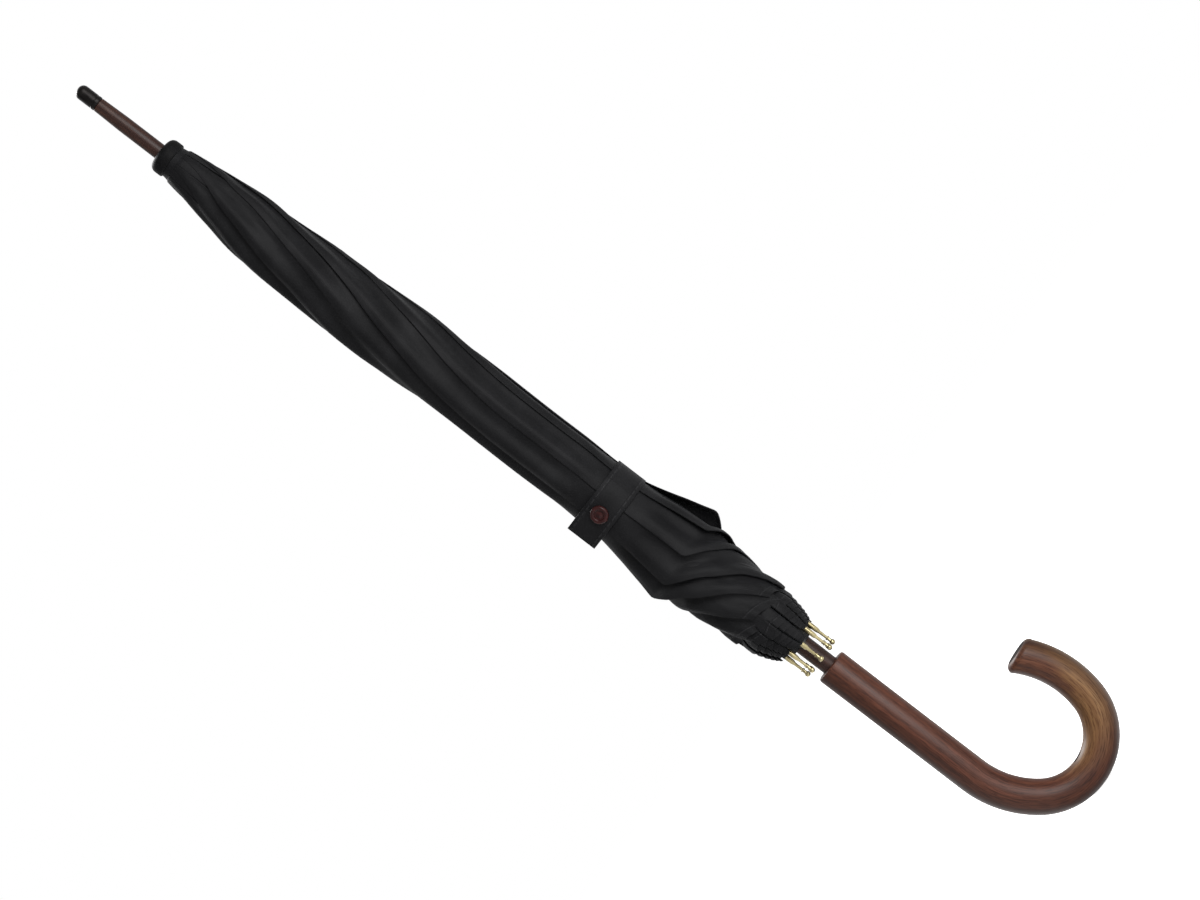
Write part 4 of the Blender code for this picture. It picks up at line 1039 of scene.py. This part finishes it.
def cloth_points(number, depth, radius, azimuth, share):
    """Places of a gore's cloth, with small uneven folds that loosen where the strap and the cap let go."""
    angle = SECTOR * (number - 1) - SECTOR * azimuth
    gathered = smooth_step((depth - GATHER[0]) / GATHER[1])
    swell_height, waves_round, waves_down = SWELL
    folds = np.empty_like(depth)
    for index in np.ndindex(depth.shape):
        turn = angle[index]
        down = depth[index]
        swell = Vector((waves_round * math.cos(turn), waves_round * math.sin(turn), waves_down * down))
        place = (number, azimuth[index], down)
        folds[index] = (
            swell_height * noise.noise(swell)
            + crease(STREAKS, *place)
            + crease(FINE_CREASES, *place)
            + gathered[index] * crease(PUCKERS, *place)
        )
    calm = smooth_step(depth / CALM_DEPTH)
    radius = radius + folds * share * clear_of_strap(depth) * calm
    x = radius * np.cos(angle) - between(depth, SWAY, SWAY_EASE) * share
    y = radius * np.sin(angle)
    return np.stack([x, y, NOTCH - depth], axis=-1).reshape(-1, 3)


def grid_quads(rows, count):
    """Faces of a grid of points, row after row."""
    index = np.arange(rows * count).reshape(rows, count)
    return np.stack([index[:-1, :-1], index[:-1, 1:], index[1:, 1:], index[1:, :-1]], axis=-1).reshape(-1, 4)


def make_gore(number, columns, across, habit):
    """One gore of the canopy, cut as a curved triangle, pleated on its rib and lapped round the roll."""
    depth, hem = gore_rows(across, habit)
    radius, azimuth, share = gore_shape(depth, columns, habit)
    points = cloth_points(number, depth, radius, azimuth, share)
    rows, count = depth.shape
    mesh = bpy.data.meshes.new(f"gore_cloth_{number}")
    mesh.from_pydata(points.tolist(), [], grid_quads(rows, count).tolist())
    width = cut_width(depth)
    to_side = np.minimum(across, 1 - across) * width
    write_uv(mesh, "cloth", (across - 0.5) * width, depth)
    write_uv(mesh, "edge", to_side, hem - depth)
    mesh.shade_smooth()
    gore = put_in_scene(f"gore_cloth_{number}", mesh)
    mesh.materials.append(CLOTH)
    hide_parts(f"gore_{number}")
    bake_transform(gore, f"rib_{number}", f"gore_{number}", start=(0, 0, NOTCH), end=(0, 0, 0))
    # Opened, the pleats lie flat: each of their points gives back how far it swings out to the side
    reach_out = (radius - PIVOT_RADIUS) * math.cos(OPEN_ANGLE) + depth * math.sin(OPEN_ANGLE)
    open_radius = PIVOT_RADIUS + reach_out
    is_pleat = columns[-1] != 0
    weights = np.clip(across - is_pleat * azimuth * radius / open_radius, 0, 1)
    mesh.attributes["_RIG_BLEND"].data.foreach_set("value", weights.astype(np.float32).ravel())


def make_crown_cloth(habits):
    """Cloth gathered under the cap: a ring with a tongue for each gore."""
    ring_rows, tongue_rows = CROWN_ROWS
    depths = np.concatenate(
        [np.linspace(CROWN_TOP, CROWN_SPLIT, ring_rows), np.linspace(CROWN_TONGUE, CROWN_LOW, tongue_rows)]
    )
    depth, across = np.meshgrid(depths, np.linspace(0, 1, CROWN_COLUMNS), indexing="ij")
    margin = CROWN_MARGIN * (depth > CROWN_SPLIT)
    azimuth = margin + (1 - 2 * margin) * across
    points = []
    faces = []
    for number, habit in enumerate(habits, 1):
        base, roll, pitch, turns, full = roll_at(depth, habit)
        under = lap_radius(roll, pitch, full, np.maximum(turns - azimuth, 0), 1.0) - CROWN_UNDER_LAP
        spread = smooth_step((depth - CROWN_RIM) / (CROWN_TONGUE - CROWN_RIM))
        ring = CROWN_RING + (roll - CROWN_UNDER_ROLL - CROWN_RING) * spread
        radius = ring + (under - ring) * smooth_step((depth - CROWN_SPLIT) / CROWN_SPREAD)
        faces.append(grid_quads(*depth.shape) + len(points) * depth.size)
        share = np.clip((radius - base) / (roll - base), 0, 1)
        points.append(cloth_points(number, depth, radius, azimuth, share))
    mesh = bpy.data.meshes.new("crown_cloth")
    mesh.from_pydata(np.concatenate(points).tolist(), [], np.concatenate(faces).tolist())
    run = np.concatenate([SECTOR * (number - azimuth) * CROWN_RING for number in range(RIB_COUNT)])
    write_uv(mesh, "cloth", run, np.tile(depth, (RIB_COUNT, 1)))
    write_uv(mesh, "edge", run, np.full_like(run, CROWN_LOW))
    crown = put_in_scene("crown_cloth", mesh)
    select_only(crown)
    finish_piece(crown, CLOTH)
    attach(crown, "stick")
    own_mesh(crown)


def write_uv(mesh, name, across, along):
    """A UV map in metres from two values at each point."""
    layer = mesh.uv_layers.new(name=name)
    corners = np.empty(len(mesh.loops), dtype=np.int32)
    mesh.loops.foreach_get("vertex_index", corners)
    places = np.stack([np.ravel(across), np.ravel(along)], axis=-1)[corners]
    layer.data.foreach_set("uv", places.astype(np.float32).ravel())


def make_canopy():
    """The gores, each rolled a little differently, and the cloth gathered under the cap."""
    columns = gore_columns()
    across = across_shares(columns)
    draw = np.random.RandomState(HABIT_SEED)
    habits = []
    for number in range(1, RIB_COUNT + 1):
        habit = {
            "corner": draw.uniform(*CORNER_RANGE),
            "turns": draw.uniform(*TURNS_RANGE),
            "flare": CORNER_LIFT[number - 1] * draw.uniform(*FLARE_RANGE),
            "step": draw.uniform(*STEP_RANGE),
            "near": draw.uniform(*PLEAT_RANGE),
            "far": draw.uniform(*PLEAT_RANGE),
            "hem": draw.uniform(*HEM_RANGE),
        }
        make_gore(number, columns, across, habit)
        habits.append(habit)
    make_crown_cloth(habits)


def make_strip(name, path, outward, closed):
    """A flat strap standing on edge along a path, with its thickness on the outward side."""
    heights = np.linspace(STRAP_LOW, STRAP_HIGH, STRAP_ROWS)
    points = [(x, y, z) for z in heights for x, y in path]
    count = len(path)
    faces = []
    for row in range(STRAP_ROWS - 1):
        for i in range(count if closed else count - 1):
            j = (i + 1) % count
            faces.append((row * count + i, row * count + j, (row + 1) * count + j, (row + 1) * count + i))
    mesh = bpy.data.meshes.new(name)
    mesh.from_pydata(points, [], faces)
    run = np.concatenate([[0.0], np.cumsum(np.linalg.norm(np.diff(np.array(path), axis=0), axis=1))])
    along = np.tile(run, STRAP_ROWS)
    height = np.repeat(heights, count)
    write_uv(mesh, "cloth", along, height)
    to_edge = np.minimum(height - STRAP_LOW, STRAP_HIGH - height)
    write_uv(mesh, "edge", along, to_edge + STRAP_STITCH_SHIFT)
    mesh.materials.append(CLOTH)
    strip = put_in_scene(name, mesh)
    select_only(strip)
    wall = strip.modifiers.new("wall", "SOLIDIFY")
    wall.thickness = STRAP_THICKNESS
    wall.offset = outward
    edge = strip.modifiers.new("edge", "BEVEL")
    edge.width = STRAP_THICKNESS / 3
    edge.segments = 2
    bpy.ops.object.modifier_apply(modifier="wall")
    bpy.ops.object.modifier_apply(modifier="edge")
    bpy.ops.object.shade_smooth_by_angle(angle=STRAP_SHARP)
    return strip, float(run[-1])


def make_strap():
    """Strap round the furled cloth, its free end and the snap on it; all lie flat when the ribs open."""
    rib = round(3 * math.pi / 2 / SECTOR) + 1
    middle = (STRAP_LOW + STRAP_HIGH) / 2
    turns = np.linspace(0, 2 * math.pi, STRAP_POINTS, endpoint=False)
    ring = [(STRAP_RADIUS * math.cos(t) + STRAP_OFFSET, STRAP_RADIUS * math.sin(t)) for t in turns]
    band, band_length = make_strip("strap_band", ring, 1.0, True)
    dress(band, f"rib_{rib}", "black_cloth", "tie_band")
    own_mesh(band)
    near = STRAP_RADIUS + STRAP_THICKNESS + TAB_GAP
    bent, free = TAB_POINTS
    bends = np.linspace(TAB_START, TAB_LEAVE, bent)
    path = [(near * math.cos(t) + STRAP_OFFSET, near * math.sin(t)) for t in bends]
    leave = np.array(path[-1])
    along = np.array((math.sin(TAB_LEAVE), -math.cos(TAB_LEAVE)))
    path += [tuple(leave + along * TAB_FREE * k / free) for k in range(1, free + 1)]
    tab, tab_length = make_strip("strap_tab", path, -1.0, False)
    dress(tab, "tie_tab", "black_cloth", "tie_tab")
    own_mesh(tab)
    ring = SNAP_RADIUS - SNAP_RING
    mirrored = rounded(ring + SNAP_ROUND, SNAP_HEIGHT, SNAP_ROUND, steps=6)
    inner = [(2 * ring - radius, height) for radius, height in mirrored]
    snap = turned(
        "snap_button",
        [
            (SNAP_RADIUS, 0.0),
            *rounded(SNAP_RADIUS, SNAP_HEIGHT, SNAP_ROUND, steps=6),
            *reversed(inner),
            *[(ring - inward, height) for inward, height in SNAP_DISH],
            SNAP_MIDDLE,
        ],
        SNAP_SIDES,
        SNAP_LACQUER,
    )
    seat = near + STRAP_THICKNESS + SNAP_GAP
    snap.data.transform(
        Matrix.Translation((math.cos(SNAP_ANGLE) * seat + STRAP_OFFSET, math.sin(SNAP_ANGLE) * seat, middle))
        @ Matrix.Rotation(SNAP_ANGLE, 4, "Z")
        @ Matrix.Rotation(math.pi / 2, 4, "Y")
    )
    dress(snap, "tie_tab", "snap_lacquer", "snap_cap")
    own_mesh(snap)


def dress_frame():
    """Finishes of the CAD pieces that are shown as they are."""
    finishes = {"runner": ENAMEL, "top_notch": ENAMEL}
    for name in ("notch_wire", "runner_wire", "stop_pin"):
        finishes[name] = BLACK_STEEL
    for catch in ("bottom_catch", "top_catch"):
        finishes[catch] = BLACK_STEEL
        finishes[catch + "_pin"] = BLACK_STEEL
    for number in range(1, RIB_COUNT + 1):
        for kind in ("rib", "stretcher", "rivet"):
            finishes[f"{kind}_{number}"] = BLACK_STEEL
    for name, material in finishes.items():
        data = frame["nodes"][name].data
        data.materials.clear()
        data.materials.append(material)


def white_to_camera(tree):
    """1 for rays from the camera, or by a mirror or glass, else 0."""
    path = add_node(tree, "ShaderNodeLightPath")
    seen = add_node(
        tree,
        "ShaderNodeMath",
        {0: path.outputs["Is Camera Ray"], 1: path.outputs["Is Glossy Ray"]},
        operation="MAXIMUM",
    )
    return add_node(
        tree,
        "ShaderNodeMath",
        {0: seen.outputs["Value"], 1: path.outputs["Is Transmission Ray"]},
        operation="MAXIMUM",
    ).outputs["Value"]


def make_studio():
    """White surroundings, a pale floor that keeps the shadow, and soft boxes in front and high behind."""
    world = bpy.data.worlds.new("studio")
    bpy.context.scene.world = world
    world.use_nodes = True
    tree = world.node_tree
    strength = add_node(
        tree, "ShaderNodeMapRange", {"Value": white_to_camera(tree), "To Min": AMBIENT, "To Max": 1.0}
    )
    tree.nodes["Background"].inputs["Color"].default_value = (1, 1, 1, 1)
    tree.links.new(strength.outputs["Result"], tree.nodes["Background"].inputs["Strength"])

    bpy.ops.object.select_all(action="DESELECT")
    bpy.ops.mesh.primitive_plane_add(size=FLOOR_SIZE, location=(0, 0, cad_box[0].z - FLOOR_GAP))
    floor = bpy.context.object
    floor.name = "floor"
    material, tree, shader = new_material("pale_floor", roughness=0.9, specular_ior_level=0.0)
    shader.inputs["Base Color"].default_value = linear("#f4f4f4")
    share = add_node(tree, "ShaderNodeMath", {0: white_to_camera(tree), 1: FLOOR_GLOW}, operation="MULTIPLY")
    glow = add_node(tree, "ShaderNodeEmission", {"Strength": share.outputs["Value"]})
    both = add_node(
        tree, "ShaderNodeAddShader", {0: shader.outputs["BSDF"], 1: glow.outputs["Emission"]}
    )
    tree.links.new(both.outputs["Shader"], tree.nodes["Material Output"].inputs["Surface"])
    floor.data.materials.append(material)

    aim = Vector((0, 0, NOTCH / 2))
    for name, place, size, power in LAMPS:
        data = bpy.data.lights.new(name, "AREA")
        data.size = size
        data.energy = power
        lamp = put_in_scene(name, data)
        lamp.location = place
        lamp.rotation_euler = (aim - Vector(place)).to_track_quat("-Z", "Y").to_euler()


def make_camera():
    """Camera at the photograph's angle."""
    data = bpy.data.cameras.new("camera")
    data.sensor_width = SENSOR
    data.lens = SENSOR * CAMERA_DISTANCE / FRAME_WIDTH
    camera = put_in_scene("camera", data)
    right = Vector((math.sin(STICK_SLOPE), 0, -math.cos(STICK_SLOPE)))
    up = Vector((math.cos(STICK_SLOPE), 0, math.sin(STICK_SLOPE)))
    back = Vector((0, -1, 0))
    aim = Vector((AIM_TO_CROOK, 0, STICK_END - AIM_BELOW_TIP))
    turn = Matrix((right, up, back)).transposed().to_4x4()
    camera.matrix_world = Matrix.Translation(aim + back * CAMERA_DISTANCE) @ turn
    bpy.context.scene.camera = camera


make_camera()
make_studio()
make_stick()
make_cap()
make_handle()
make_rib_tips()
make_canopy()
make_strap()
dress_frame()
bpy.context.scene.view_settings.view_transform = "Standard"
